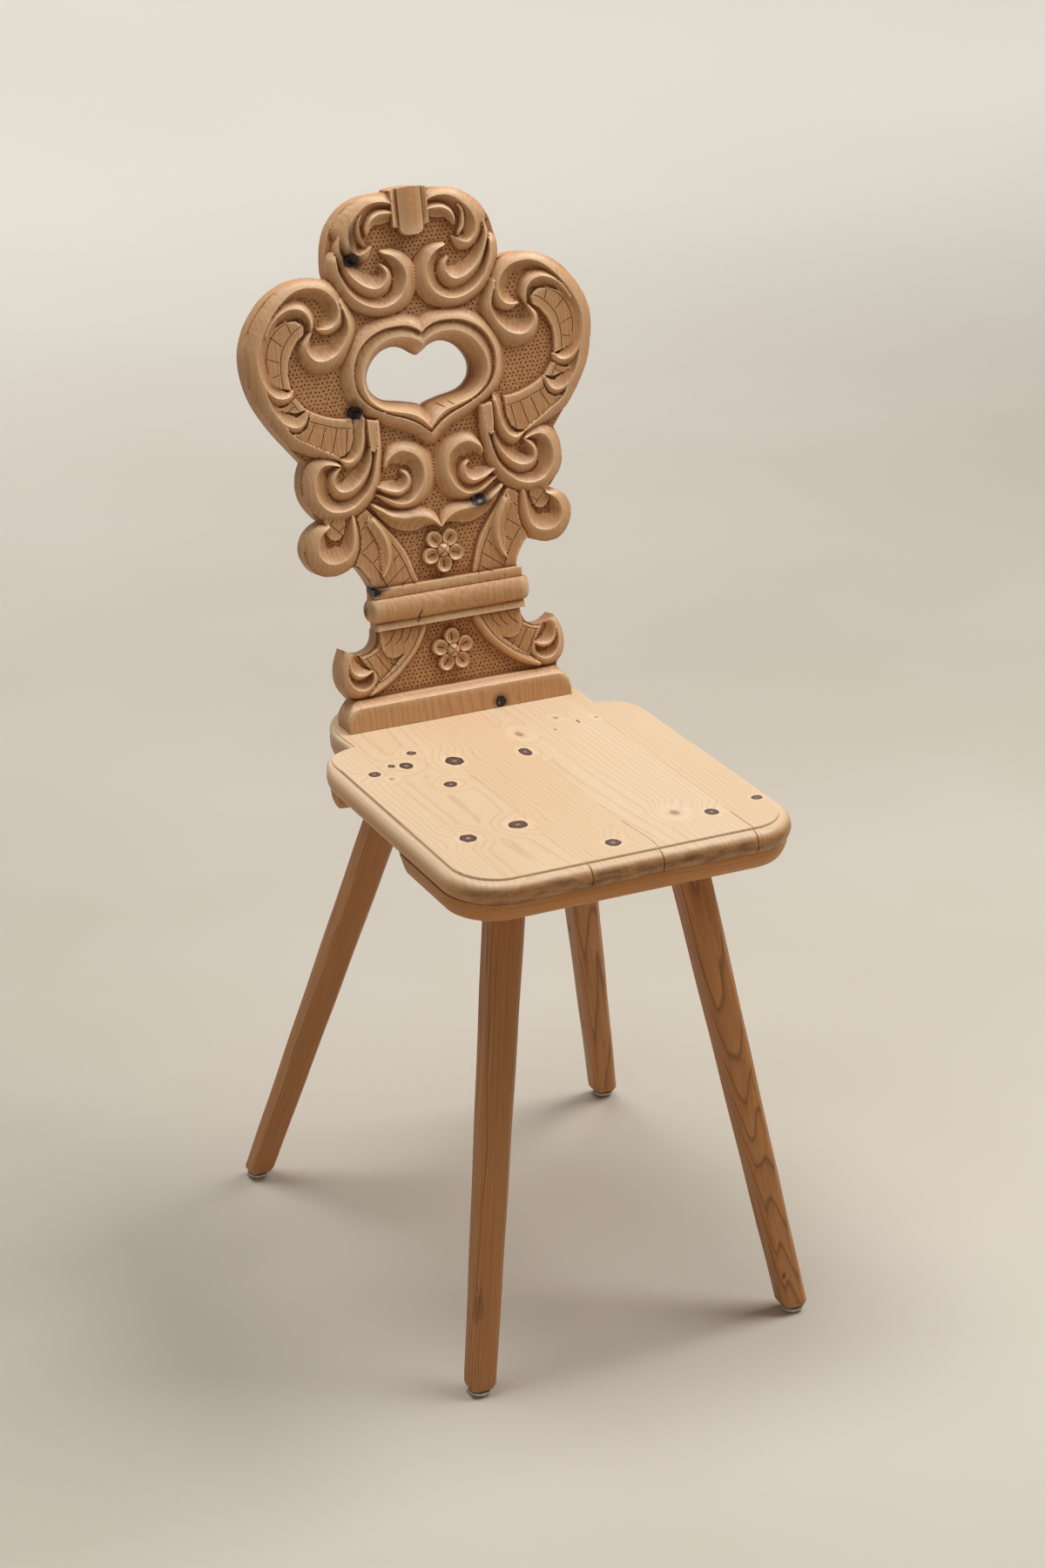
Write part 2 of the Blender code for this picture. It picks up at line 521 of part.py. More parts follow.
def face_cloud(outline, hole):
    cloud = Cloud()
    for u, v in np.vstack([outline, hole]):
        cloud.add(u, v, 0)
    border = closed(outline)

    def put(points, apart, clear=1.6, chain=False):
        half = np.array(points, float)
        for p in (half, half * [-1, 1]):
            ok = inside(p, outline) & ~inside(p, hole)
            ok &= (nearest(p, border)[0] > clear) & (nearest(p, closed(hole))[0] > 1.0)
            last = None
            for (u, v), good in zip(p, ok):
                this = cloud.add(u, v, apart) if good else None
                if chain and this is not None and last is not None:
                    cloud.chains.append((last, this))
                last = this

    for v in (90.2, 90.8, 111.7, 112.3):
        put([(u, v) for u in np.arange(0, 70, 9.8)], 1.0, 0.8)
    for v in (83.2, 83.9, 119.1, 119.8):
        put([(u, v) for u in np.arange(0, 70, 4.9)], 1.0, 0.3)
    for v in (92.2, 95.4, 101.2, 107.0, 110.3):
        put([(u, v) for u in (0, 15, 30, 45, 58, 66.8, 70.8, 74.2)], 1.5, 1.0)
    for v, apart in ((26.2, 1.5), (23.4, 2.0), (20.6, 2.0)):
        put([(u, v) for u in np.arange(0, 96, 7.5)], apart)
    for half in (HEART_LIP, HEART_RIDGE):
        put(thin(spline(half), 4.0), 1.0, chain=True)
    ridge = mirror_loop(HEART_RIDGE)
    put(thin(beside(ridge, np.full(len(ridge), 1.1)), 5.0), 1.0)
    put(thin(beside(ridge, np.full(len(ridge), -1.9)), 5.0), 1.2)
    put(thin(beside(ridge, np.full(len(ridge), -5.2)), 6.0), 2.4)
    put(thin(beside(ridge, np.full(len(ridge), -9.7)), 6.0), 2.4)
    for u in (10.2, 10.8, 16.0, 16.7):
        put([(u, v) for v in (415, 418, 421, 432, 443, 449)], 0.5, 0.8)
    put([(u, 415.4 + 4.5 * (u / 10.5) ** 4) for u in (0, 3, 6, 8.5)], 0.8)
    put([(u, 413.8 + 4.5 * (u / 10.5) ** 4) for u in (0, 3, 6, 8.5)], 0.8)
    put([(u, v) for u in (0, 5) for v in (420, 435, 448)], 2.0)
    put([(13.5, 420.8), (13.5, 422.6)], 0.8)
    lines = [(side, thin(spline(points, steps=4), 3.8)) for side, _, _, points in STROKES]
    for side, line in lines:
        put(line[:, :2], 1.4, chain=True)
    for side, line in lines:
        put(beside(line, side * line[:, 2] * 0.97), 2.2)
    for height, shape in FLATS:
        loop = closed(np.array(shape, float))
        fine = []
        for a, b in zip(loop[:-1], loop[1:]):
            n = max(1, int(np.hypot(*(b - a)) // 5))
            fine += [a + (b - a) * k / n for k in range(n)]
        fine = np.array(fine)
        turn = 1 if np.sum(loop[:-1, 0] * loop[1:, 1] - loop[1:, 0] * loop[:-1, 1]) > 0 else -1
        put(beside(fine, np.full(len(fine), 1.1 * turn)), 1.6)
        put(beside(fine, np.full(len(fine), -0.4 * turn)), 1.2)
    for side, line in lines:
        wide = line[line[:, 2] > 5.5]
        if len(wide) > 2:
            put(beside(wide, side * wide[:, 2] * 0.55), 2.8)
        wide = line[line[:, 3] > 4.0]
        if len(wide) > 2:
            put(beside(wide, -side * wide[:, 3] * 0.35), 2.2)
            put(beside(wide, -side * wide[:, 3] * 0.85), 2.8)
    for centre, turn in ((144.3, -90.0), (56.0, 90.0)):
        put([(0, centre)], 1.0)
        for k in range(5):
            t = k * math.pi / 4
            put([(r * math.sin(t), centre + r * math.cos(t)) for r in (6.4, 7.0)], 0.5)
            a = math.radians(turn + 72 * k)
            x, y = 12.2 * math.cos(a), centre + 12.2 * math.sin(a)
            put([(x, y)], 1.5)
            for j in range(9):
                b = a + math.pi * (j - 4) / 5.2
                put([(x + r * math.cos(b), y + r * math.sin(b)) for r in (6.5, 7.8)], 0.9)
    put([(u, v) for u in np.arange(0, 160, 11.0) for v in np.arange(30, 450, 11.0)], 6.0, 4.0)
    return cloud.points, cloud.chains


def back_board(mat):
    outline = outline_loop(2)
    hole = thin(mirror_loop(HEART_HOLE), 4.5)
    points, chains = face_cloud(outline, hole)
    n, m = len(outline), len(hole)
    edges = [(i, (i + 1) % n) for i in range(n)] + [(n + i, n + (i + 1) % m) for i in range(m)]
    shape = np.array(points[n:n + m])
    bm = bmesh.new()

    def triangles(flat, lines, height):
        """Triangulate points inside the outline; gives the vertices of the border points."""
        got = delaunay_2d_cdt([Vector(p) for p in flat], lines, [], 1, 1e-6)
        spots = [tuple(p) for p in got[0]]
        place = {old: new for new, olds in enumerate(got[3]) for old in olds}
        depths = height(spots)
        for i in (0, n - 1):
            u, v = spots[place[i]]
            spots[place[i]] = (u, board_foot(depths[place[i]]))
        made = [bm.verts.new(board_point(u, v, d)) for (u, v), d in zip(spots, depths)]
        middles = np.array([np.mean([spots[i] for i in tri], axis=0) for tri in got[2]])
        for tri, off in zip(got[2], inside(middles, shape)):
            if not off:
                bm.faces.new([made[i] for i in tri])
        return [made[place[i]] for i in range(n + m)]

    def between(i):
        """Points of the wall behind border point i: the moulding's ends step in to the board."""
        u, v = points[i]
        if slim[i] == points[i]:
            return []
        steps = ((u, BAND_DEEP), (slim[i][0], BAND_DEEP + 1.5))
        return [bm.verts.new(board_point(a, v, depth)) for a, depth in steps]

    slim = [tuple(p) for p in points[:n + m]]
    for i, (u, v) in enumerate(slim):
        if abs(u) > BAND_HALF and BAND_ENDS[0] - 0.1 < v < BAND_ENDS[1] + 0.1:
            slim[i] = (math.copysign(BAND_HALF + 0.1 * (abs(u) - BAND_HALF), u), v)
    points = [tuple(p) for p in points]
    front = triangles(points, edges + chains, lambda spots: RIDGE - relief(spots))
    back = triangles(slim, edges, lambda spots: np.full(len(spots), BACK_THICK))
    walls = [between(i) for i in range(n + m)]
    for i, j in edges:
        if walls[i] and walls[j]:
            rows = ([front[i], *walls[i], back[i]], [front[j], *walls[j], back[j]])
            for a, b, c, d in zip(rows[0][:-1], rows[0][1:], rows[1][1:], rows[1][:-1]):
                bm.faces.new((a, b, c, d))
        else:
            bm.faces.new([front[i], *walls[i], back[i], back[j], *walls[j][::-1], front[j]])
    return new_object("back_board", bm, mat)


def tenon_box(name, sign, grow, top, mat):
    u = [sign * (TENON_U[0] - grow), sign * (TENON_U[1] + grow)]
    d = [TENON_DEPTH[0] - grow, TENON_DEPTH[1] + grow]
    ring = [(u[0], d[0]), (u[1], d[0]), (u[1], d[1]), (u[0], d[1])]
    loops = [[board_point(a, v, b) for a, b in ring] for v in (TENON_END, top)]
    return loft(name, loops, mat)


def key_box(name, sign, grow, mat):
    """A tapered key under the batten, square to the chair, through a tenon."""
    u = sign * sum(TENON_U) / 2 * MM
    under = (BATTEN_UNDER - SEAT_TOP - KEY_TALL / 2) / MM
    middle = board_point(0, under, sum(TENON_DEPTH) / 2).y
    top = BATTEN_UNDER - GAP + grow
    loops = []
    for y in (middle - KEY_REACH, middle + KEY_REACH):
        low = BATTEN_UNDER - GAP - KEY_TALL - grow + KEY_TAPER * (middle - y)
        half = KEY_HALF + grow
        loops.append([Vector((u - half, y, low)), Vector((u + half, y, low)),
                      Vector((u + half, y, top)), Vector((u - half, y, top))])
    return loft(name, loops, mat)


def seat_outline():
    """The seat seen from above, counterclockwise from the front centre."""
    half = [(0.0, SEAT_FRONT), (SEAT_HALF * 0.36, SEAT_FRONT)]
    rx, ry = FRONT_CORNER
    for k in range(9):
        a = math.radians(90 * k / 8)
        half.append((SEAT_HALF - rx + rx * math.sin(a), SEAT_FRONT + ry - ry * math.cos(a)))
    half += [(SEAT_HALF, FRONT_BATTEN_REAR), (SEAT_HALF, REAR_BATTEN_FRONT)]
    # Rounded shoulder: shares of the way in from the side, and back to the shoulder's end.
    out, back = SEAT_HALF - TONGUE_HALF, SHOULDER_Y - REAR_BATTEN_FRONT
    for a, b in ((0.02, 0.24), (0.11, 0.50), (0.28, 0.72), (0.51, 0.86), (0.77, 0.954), (1.03, 1.0)):
        half.append((SEAT_HALF - out * a, REAR_BATTEN_FRONT + back * b))
    # Round tongue behind the back board: shares of its half width and of its length.
    long = SEAT_REAR - SHOULDER_Y
    for a, b in ((0.992, 0.06), (1.0, 0.155), (1.0, 0.28), (0.978, 0.43), (0.924, 0.571), (0.836, 0.704),
                 (0.709, 0.827), (0.535, 0.92), (0.297, 0.982)):
        half.append((TONGUE_HALF * a, SHOULDER_Y + long * b))
    return half + [(0.0, SEAT_REAR)] + [(-x, y) for x, y in half[:0:-1]]


def inset(outline, amounts, z):
    """The outline moved inwards, by its own amount at each corner."""
    n = len(outline)
    loop = []
    for i, (x, y) in enumerate(outline):
        a = Vector(outline[i - 1])
        b = Vector((x, y))
        c = Vector(outline[(i + 1) % n])
        d, e = (b - a).normalized(), (c - b).normalized()
        n1, n2 = Vector((-d.y, d.x)), Vector((-e.y, e.x))
        move = (n1 + n2) / (1 + n1.dot(n2)) * amounts[i]
        loop.append(Vector((x + move.x, y + move.y, z)))
    return loop


def seat_board(mat):
    outline = seat_outline()
    fade = SHOULDER_Y - REAR_BATTEN_FRONT
    plain = [min(1.0, max(0.0, (y - REAR_BATTEN_FRONT - 0.1 * fade) / (0.64 * fade))) for x, y in outline]
    loops = []
    thick = SEAT_THICK / MM
    steps = [(3.8, thick), (1.2, thick - 3.0), (0.0, 12.5), (0.5, 8.6), (2.4, 5.2), (5.2, 3.1),
     (8.2, 2.3),
             (9.6, 2.2), (10.0, 0.0)]
    for inward, down in steps:
        share = [1.0 - 0.62 * p for p in plain]
        loop = inset(outline, [MM * inward * s for s in share], SEAT_TOP)
        for point, p in zip(loop, plain):
            lower = down if down > 9.0 else down * (1.0 - 0.62 * p)
            point.z = SEAT_TOP - MM * lower
        loops.append(loop)
    seat = loft("seat_board", loops, mat)
    for sign, side in ((-1, "left"), (1, "right")):
        boolean(seat, tenon_box("seat_mortise_" + side, sign, GAP / MM, 40.0, None), "DIFFERENCE")
    return seat


def batten(name, outline, mat):
    n = len(outline)
    loops = []
    thick = BATTEN_THICK / MM
    for inward, down in ((15.0, thick), (11.2, thick - 2.4), (7.6, 11.0), (5.0, 5.5), (4.2, 0.0)):
        amounts = []
        for i in range(n):
            run = Vector(outline[(i + 1) % n]) - Vector(outline[i - 1])
            front = abs(run.x) / run.length
            amounts.append(MM * (4.2 * (0.45 + 0.55 * front) + (inward - 4.2) * (0.6 + 0.4 * front)))
        loops.append(inset(outline, amounts, BATTEN_TOP - MM * down))
    return loft(name, loops, mat)


def split_outline(front):
    if front:
        return [p for p in seat_outline() if p[1] <= FRONT_BATTEN_REAR]
    return [p for p in seat_outline() if p[1] >= REAR_BATTEN_FRONT]


def leg_axis(foot, top, z):
    t = (z - LEG_UNDER) / (SEAT_UNDER - LEG_UNDER)
    return Vector((foot[0] + (top[0] - foot[0]) * t, foot[1] + (top[1] - foot[1]) * t, z))


def leg_ring(foot, top, z, side):
    c = leg_axis(foot, top, z)
    h = side / 2
    k = h - LEG_CHAMFER * side / LEG_TOP_SIDE
    ring = [(-k, -h), (k, -h), (h, -k), (h, k), (k, h), (-k, h), (-h, k), (-h, -k)]
    return [c + Vector((x, y, 0.0)) for x, y in ring]


def leg(name, foot, top, mat):
    sides = [(LEG_UNDER, LEG_FOOT_SIDE - 0.004), (LEG_UNDER + 0.002, LEG_FOOT_SIDE),
             (BATTEN_UNDER - GAP, LEG_TOP_SIDE)]
    made = loft(name, [leg_ring(foot, top, z, s) for z, s in sides], mat)
    start = leg_axis(foot, top, BATTEN_UNDER - 0.010)
    end = leg_axis(foot, top, BATTEN_UNDER + LEG_TENON_LONG)
    boolean(made, rod(name + "_tenon", start, end, LEG_TENON_R, mat), "UNION")
    low = Vector((foot[0], foot[1], 0.0))
    high = Vector((foot[0], foot[1], LEG_UNDER + SHANK_LONG + GAP))
    boolean(made, rod(name + "_nail_hole", low, high, SHANK_R + GAP, None, 12), "DIFFERENCE")
    return made


def socket(name, foot, top):
    start = leg_axis(foot, top, BATTEN_UNDER - 0.006)
    end = leg_axis(foot, top, BATTEN_UNDER + LEG_TENON_LONG + GAP)
    return rod(name, start, end, LEG_TENON_R + GAP, None)


def glide(name, foot, mat):
    rings = [(0.0045, 0.0), (0.0072, 0.0007), (0.0089, 0.0019), (GLIDE_R, 0.0034), (GLIDE_R, GLIDE_TALL),
             (SHANK_R, GLIDE_TALL), (SHANK_R, LEG_UNDER + SHANK_LONG)]
    turn = [2 * math.pi * k / 24 for k in range(24)]
    x, y = foot
    return loft(name, [[Vector((x + r * math.cos(a), y + r * math.sin(a), z)) for a in turn]
                       for r, z in rings], mat)


def build():
    for old in list(bpy.data.objects):
        bpy.data.objects.remove(old)
    tan = material("carved_pine", (0.53, 0.36, 0.21), 0.55)
    pale = material("seat_pine", (0.78, 0.62, 0.42), 0.5)
    brown = material("frame_pine", (0.50, 0.31, 0.16), 0.5)
    plastic = material("glide_plastic", (0.62, 0.60, 0.56), 0.45)
    board = back_board(tan)
    seat_board(pale)
    front = batten("front_batten", split_outline(True), brown)
    rear = batten("rear_batten", split_outline(False), brown)
    for sign, side in ((-1, "left"), (1, "right")):
        boolean(board, tenon_box("board_tenon_" + side, sign, 0.0, 12.0, tan), "UNION")
        boolean(board, key_box("key_slot_" + side, sign, GAP, None), "DIFFERENCE")
        boolean(rear, tenon_box("batten_mortise_" + side, sign, GAP / MM, 40.0, None), "DIFFERENCE")
        key_box("tenon_key_" + side, sign, 0.0, brown)
        for where, foot, top, holder in (("front", FRONT_FOOT, FRONT_TOP, front),
                                         ("rear", REAR_FOOT, REAR_TOP, rear)):
            foot = (sign * foot[0], foot[1])
            top = (sign * top[0], top[1])
            name = where + "_" + side
            leg("leg_" + name, foot, top, brown)
            boolean(holder, socket("socket_" + name, foot, top), "DIFFERENCE")
            glide("glide_" + name, foot, plastic)


build()
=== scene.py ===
import math

import bmesh
import bpy
import numpy as np
from mathutils import Matrix, Vector
from mathutils.geometry import delaunay_2d_cdt


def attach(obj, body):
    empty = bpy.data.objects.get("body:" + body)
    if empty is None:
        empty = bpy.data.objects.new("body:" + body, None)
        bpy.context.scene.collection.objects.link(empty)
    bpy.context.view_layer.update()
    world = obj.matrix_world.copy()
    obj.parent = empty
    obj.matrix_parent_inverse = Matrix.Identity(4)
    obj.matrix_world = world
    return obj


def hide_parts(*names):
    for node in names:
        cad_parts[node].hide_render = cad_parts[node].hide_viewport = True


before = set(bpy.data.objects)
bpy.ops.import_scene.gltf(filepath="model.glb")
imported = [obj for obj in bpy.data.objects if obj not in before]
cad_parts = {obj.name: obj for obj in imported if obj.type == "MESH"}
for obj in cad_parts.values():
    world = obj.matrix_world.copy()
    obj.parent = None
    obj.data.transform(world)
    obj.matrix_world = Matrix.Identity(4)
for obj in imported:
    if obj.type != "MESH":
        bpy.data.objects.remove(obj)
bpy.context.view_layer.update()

# Looks of a carved alpine board chair. Metres, +Z up, the chair faces -Y. The carving is
# drawn in millimetres on the board: u to the right, v up the board from the seat, and depth
# backwards from the plane of the ridges.
MM = 0.001
GAP = 0.0003
SEAT_TOP = 0.460
SEAT_THICK = 0.020
SEAT_HALF = 0.153
SEAT_FRONT = -0.232
BATTEN_THICK = 0.018
FRONT_BATTEN_REAR = -0.084
REAR_BATTEN_FRONT = 0.040
BACK_TILT = math.radians(9.94)
BACK_Y = 0.1225
BACK_THICK = 25.0
RIDGE = 7.0
TENON_U = (34.0, 76.0)
TENON_DEPTH = (6.0, 19.0)
TENON_END = -66.0
KEY_HALF = 0.006
KEY_TALL = 0.0125
FRONT_FOOT = (0.1466, -0.2135)
FRONT_TOP = (0.0769, -0.1402)
REAR_FOOT = (0.1780, 0.2195)
REAR_TOP = (0.0759, 0.0772)
LEG_TOP_SIDE = 0.030
LEG_FOOT_SIDE = 0.0225
LEG_CHAMFER = 0.0050
GLIDE_TALL = 0.0045
SEAT_UNDER = SEAT_TOP - SEAT_THICK
BATTEN_TOP = SEAT_UNDER - GAP
BATTEN_UNDER = BATTEN_TOP - BATTEN_THICK
LEG_UNDER = GLIDE_TALL + GAP

# Camera
CAMERA_AT = (-1.10043, -2.44562, 1.53132)
CAMERA_YAW = math.radians(-24.263)
CAMERA_PITCH = math.radians(22.197)
CAMERA_ROLL = math.radians(-1.434)
CAMERA_LENS = 78.655

# Each stroke is a cut ridge, in millimetres on the board: side of the rounded outer flank
# (+1 left of travel, -1 right), floor of the outer flank, floor of the inner hollow, then
# points of the ridge as (u, v, width of the outer flank, width of the inner hollow).
STROKES = [
    # side lobe, outer rim
    (1, 1.5, 1.0, [(92, 346.5, 2, 2), (86, 345.7, 5, 7), (80, 347.5, 6, 9), (76, 351.5, 7, 9),
     (73.8, 357, 6, 9), (73.8, 363, 6, 9), (76.5, 370, 9, 9), (82, 376.5, 9, 9), (90, 381, 8, 9),
     (102, 382.5, 7, 8.5), (112, 380.3, 7.5, 7.5), (121.7, 374.5, 8.5, 7), (130.8, 365.8, 9.5, 7.5),
     (139.2, 355, 10.5, 8.5), (145.8, 343.3, 11, 9), (149.7, 331.7, 11, 9), (150, 320, 11, 9),
     (147.5, 306.7, 11, 8.5), (145, 296.7, 11.5, 6), (140.5, 284.2, 12, 4), (132.5, 270.8, 11, 4),
     (125, 260, 10, 3), (111.7, 251.2, 9, 2.5), (98.3, 243.4, 7, 2), (87, 236.6, 3, 1.5)]),
    # side lobe, shallow hollow beside the upper strip
    (1, 6.9, 4.2, [(137, 358, 0.3, 8), (139.2, 355, 0.3, 8.5), (145.8, 343.3, 0.3, 9),
     (149.7, 331.7, 0.3, 9), (150, 320, 0.3, 9), (147.5, 306.7, 0.3, 8.5), (146, 300, 0.3, 7)]),
    # side lobe, first feather
    (1, 0.0, 1.5, [(99.5, 347, 2.5, 2), (99.6, 353, 5.5, 3), (102, 360, 7, 5), (107.5, 365, 7.5, 8),
     (115, 366.5, 7, 10), (122, 365, 6, 10), (130, 360.5, 4, 9), (137, 352.5, 2, 9), (141, 345, 1, 7)]),
    # side lobe, lower bowl
    (-1, 0.0, 1.0, [(71.5, 367, 6, 1), (67.8, 356, 8, 4), (66, 347, 9, 5), (67.5, 339, 9, 7),
     (72, 331, 10, 9), (80, 323.3, 12, 10.5), (90, 319.6, 11, 14), (98.5, 321, 10, 14), (104, 327, 8, 11),
     (105.4, 333.5, 6.5, 8), (103, 339, 4, 4), (99.5, 344.5, 1.5, 1)]),
    # upper feather bowl
    (-1, 0.0, 3.5, [(121.5, 298, 2, 1.5), (124.5, 294.6, 6, 4.5), (129, 293, 7.5, 7),
     (134, 293.5, 8, 8.5), (139, 296, 7.5, 8.5), (144, 301.5, 7.5, 9), (147.6, 309, 8, 9),
     (149.7, 318, 9, 9), (150, 324, 9, 9)]),
    # second feather bowl
    (-1, 0.0, 3.5, [(110.5, 279.6, 2, 1.5), (112.3, 274.5, 3.5, 5), (115.5, 270, 5, 8),
     (120, 267.6, 6.5, 10.5), (125, 268, 6.5, 10.5), (130, 270.5, 7, 9.5), (136.5, 276, 7.5, 9),
     (141.8, 284, 9, 7), (144.5, 294, 10, 6), (146, 300, 10, 6)]),
    # gouge at the end of the lower strip
    (-1, 0.0, 2.5, [(61, 266, 3, 7), (63, 258, 5, 7.5), (64.3, 250, 6, 7), (67, 241.5, 6.5, 7),
     (72, 234.5, 7, 6.5), (78.5, 231.8, 6.5, 5.5), (85.5, 235, 2, 1.5)]),
    # lower scroll, outer ridge
    (-1, 1.5, 1.5, [(49.5, 262, 4, 2), (50, 250, 4.5, 3), (51, 242, 5.5, 4), (53, 233, 6.5, 4),
     (55.5, 222, 7.5, 4), (59, 212, 8, 5), (64, 204, 8.5, 6), (70, 198.5, 9, 7), (77, 193.5, 9, 8),
     (85, 191, 8.5, 8.5), (92, 190.8, 8, 9), (99, 192.5, 9, 10), (105, 197, 9.5, 11),
     (109.5, 203.5, 10.5, 12), (111.3, 212, 10.5, 12), (110.5, 221, 10.5, 12), (107, 228, 10, 10),
     (101.5, 232, 7.5, 7), (95, 232, 6, 4), (89.5, 230.5, 4, 2), (86.5, 229.5, 2, 1)]),
    # lower scroll, inner bowl
    (-1, 0.0, 1.0, [(57.5, 240, 1.5, 2), (58.5, 233, 3, 5), (61, 226, 4.5, 7), (66, 218, 6, 9),
     (72, 212, 7, 12), (79, 208, 8.5, 15), (85.5, 207.3, 8.5, 16), (90.5, 209, 7.5, 13),
     (93.5, 213.5, 6, 9), (93.5, 219, 5.5, 7), (91, 223.5, 5, 5), (87, 227.5, 3, 2),
     (85.5, 228.5, 1.5, 1)]),
    # middle scroll, outer ridge
    (-1, 0.0, 1.5, [(45.5, 224, 2, 4), (43, 229, 4, 7), (38, 233, 7, 11), (33, 235, 8, 13),
     (28, 235, 8.5, 13.5), (22, 233, 9.5, 12), (17, 229.5, 11, 11), (13.5, 225, 12, 10.5),
     (11.5, 219, 12.5, 10), (11, 212, 13, 9.5), (12.5, 206, 13, 9), (15.5, 200, 12, 8.5),
     (20, 194.5, 10, 7.5), (26, 190.5, 7.5, 6.5), (32, 189.4, 5.5, 6), (38, 190.5, 5, 5.5),
     (45, 194, 4, 4.5), (51, 197.5, 2.5, 3), (56, 200.5, 1, 1)]),
    # middle scroll, inner bowl
    (-1, 0.0, 1.5, [(31, 217.5, 2, 1.5), (27.8, 214, 4.5, 4), (27, 209, 6.5, 8), (28.5, 204.5, 6.5, 10),
     (32, 201.5, 6, 11), (36, 200.5, 5.5, 11), (42, 201.5, 4.5, 9.5), (48, 203.8, 3.5, 7.5),
     (54, 207, 2, 4)]),
    # crest, outer rim
    (1, 1.5, 1.5, [(13, 441.5, 8, 5), (20, 444.5, 7, 6), (26, 445.7, 6.5, 6), (33, 445.6, 7, 7),
     (40, 443.5, 8, 9), (46, 439.5, 9, 10), (52, 434, 10.5, 10.5), (56, 428.5, 12, 10.5),
     (58.5, 422.5, 13.5, 12), (59.2, 417, 10, 13), (58, 411, 7, 12), (54, 405.5, 6.5, 9),
     (49.5, 403.5, 7, 7.5), (45, 404.8, 7.5, 5), (41, 407.2, 5, 2.5), (38, 409.3, 2, 1)]),
    # crest, thin edge between the rim's hollow and the ground
    (1, 1.5, 0.5, [(44, 436, 2, 2), (47, 431, 3, 2.5), (47.3, 425, 4, 2.5), (46.3, 418, 4, 2.5),
     (43, 412.5, 3, 2)]),
    # crest, small crescent
    (1, 0.0, 3.0, [(14, 434.3, 4.5, 6.5), (20, 435.6, 4.6, 8), (28, 435.4, 4.8, 9), (33.5, 433.2, 4.8, 8),
     (37.3, 429.5, 4.5, 6), (39.4, 424.5, 3.5, 4), (40.2, 420, 1.5, 1.5)]),
    # crest scroll, outer ridge
    (-1, 1.5, 1.5, [(28, 403, 3, 1.5), (22, 400.8, 5.5, 4), (17, 397.5, 8, 7), (13, 393, 9.5, 8),
     (10, 387.5, 11, 9.5), (9, 381, 12, 10.5), (10.5, 374, 12, 10), (14, 367.5, 11.5, 9),
     (19, 362.5, 10.5, 8), (26, 359, 9, 7.5), (34, 357.8, 8, 7.5), (42, 359, 7.5, 7.5),
     (50, 362.5, 7.5, 7), (57, 367.5, 8, 7), (63, 374.5, 8, 6.5), (67.5, 384, 8.5, 5), (70, 392, 9, 3),
     (70.5, 400, 9.5, 1)]),
    # crest scroll, inner ridge
    (-1, 1.0, 1.5, [(30.5, 392.5, 2, 1.5), (27.5, 388, 5, 3.5), (27, 383, 7, 7), (29, 378.5, 8, 10),
     (33, 375, 9, 12.5), (38, 374, 8.5, 13.5), (44, 375.5, 8, 12.5), (50, 378.8, 7, 11),
     (56, 384, 6, 9.5), (61, 390.5, 4.5, 8), (65, 399, 4, 7), (66.8, 406, 5, 5), (67, 412, 5, 3),
     (66.3, 420, 2, 0.8)]),
    # leaf at the centre tip
    (1, 0.0, 2.5, [(0.5, 165.2, 2, 0.8), (4, 169.3, 6, 3), (9, 173.4, 7.5, 7.5), (16, 176.3, 8, 11),
     (24, 177.3, 7.5, 13), (31, 177.2, 8, 12), (38, 178.4, 7.5, 10.5), (46, 181.2, 6, 8),
     (53, 186, 4.5, 5), (60.5, 191.3, 3, 1.5)]),
    # long leaf of the lower fan
    (-1, 2.0, 5.4, [(62, 178, 5, 6), (56, 168, 6.5, 7), (52.4, 158, 6.5, 7), (51.4, 149, 6, 7),
     (52.4, 141, 5, 6), (55, 134.5, 3.5, 4), (58.3, 129, 1, 1.5)]),
    # volute
    (-1, 1.5, 1.5, [(81, 183, 4.5, 4), (81, 172, 6.5, 7), (82, 163, 7.5, 9), (84, 156, 8, 12),
     (88, 151, 9.5, 14), (93, 148.5, 10.5, 17), (99, 147.3, 11, 17.5), (105, 148, 11, 17),
     (110, 151, 11, 16), (113.5, 156, 11, 13), (114.5, 162, 11, 10), (113, 169, 10.5, 8),
     (110, 174, 9, 6), (106, 177, 6, 3), (102.5, 179, 3, 1)]),
    # bottom wing, inner edge of the curved fillet
    (-1, 0.0, 6.0, [(24.5, 86, 5, 5), (26, 80, 5, 5), (29.5, 73, 5, 5.5), (36, 63, 5, 6),
     (44, 54.5, 5, 6), (54, 45.5, 5, 6), (64, 38.5, 5, 5), (74, 33.5, 5, 3), (80, 31, 4, 1)]),
    # bottom wing, volute rim
    (-1, 1.5, 1.5, [(76.5, 49.5, 1.5, 1), (76.3, 43, 4.5, 3), (79.5, 37.5, 6, 5), (85.5, 34.5, 7, 6),
     (92, 35.5, 8, 6.5), (97.5, 40.5, 8.5, 6.5), (100, 48, 7.5, 6), (99.5, 57, 7, 5), (97, 64.5, 6, 4),
     (94, 68.5, 4.5, 3), (90, 69.5, 3, 1.5)]),
    # bottom wing, inner bowl
    (-1, 1.0, 2.0, [(77, 50.3, 1, 1.5), (81, 48.3, 2.5, 4.5), (87, 47.3, 4, 9), (92.5, 49, 4.5, 10),
     (96.3, 54, 4, 9), (97, 61, 3, 7), (94.5, 66.5, 2, 4)]),
]

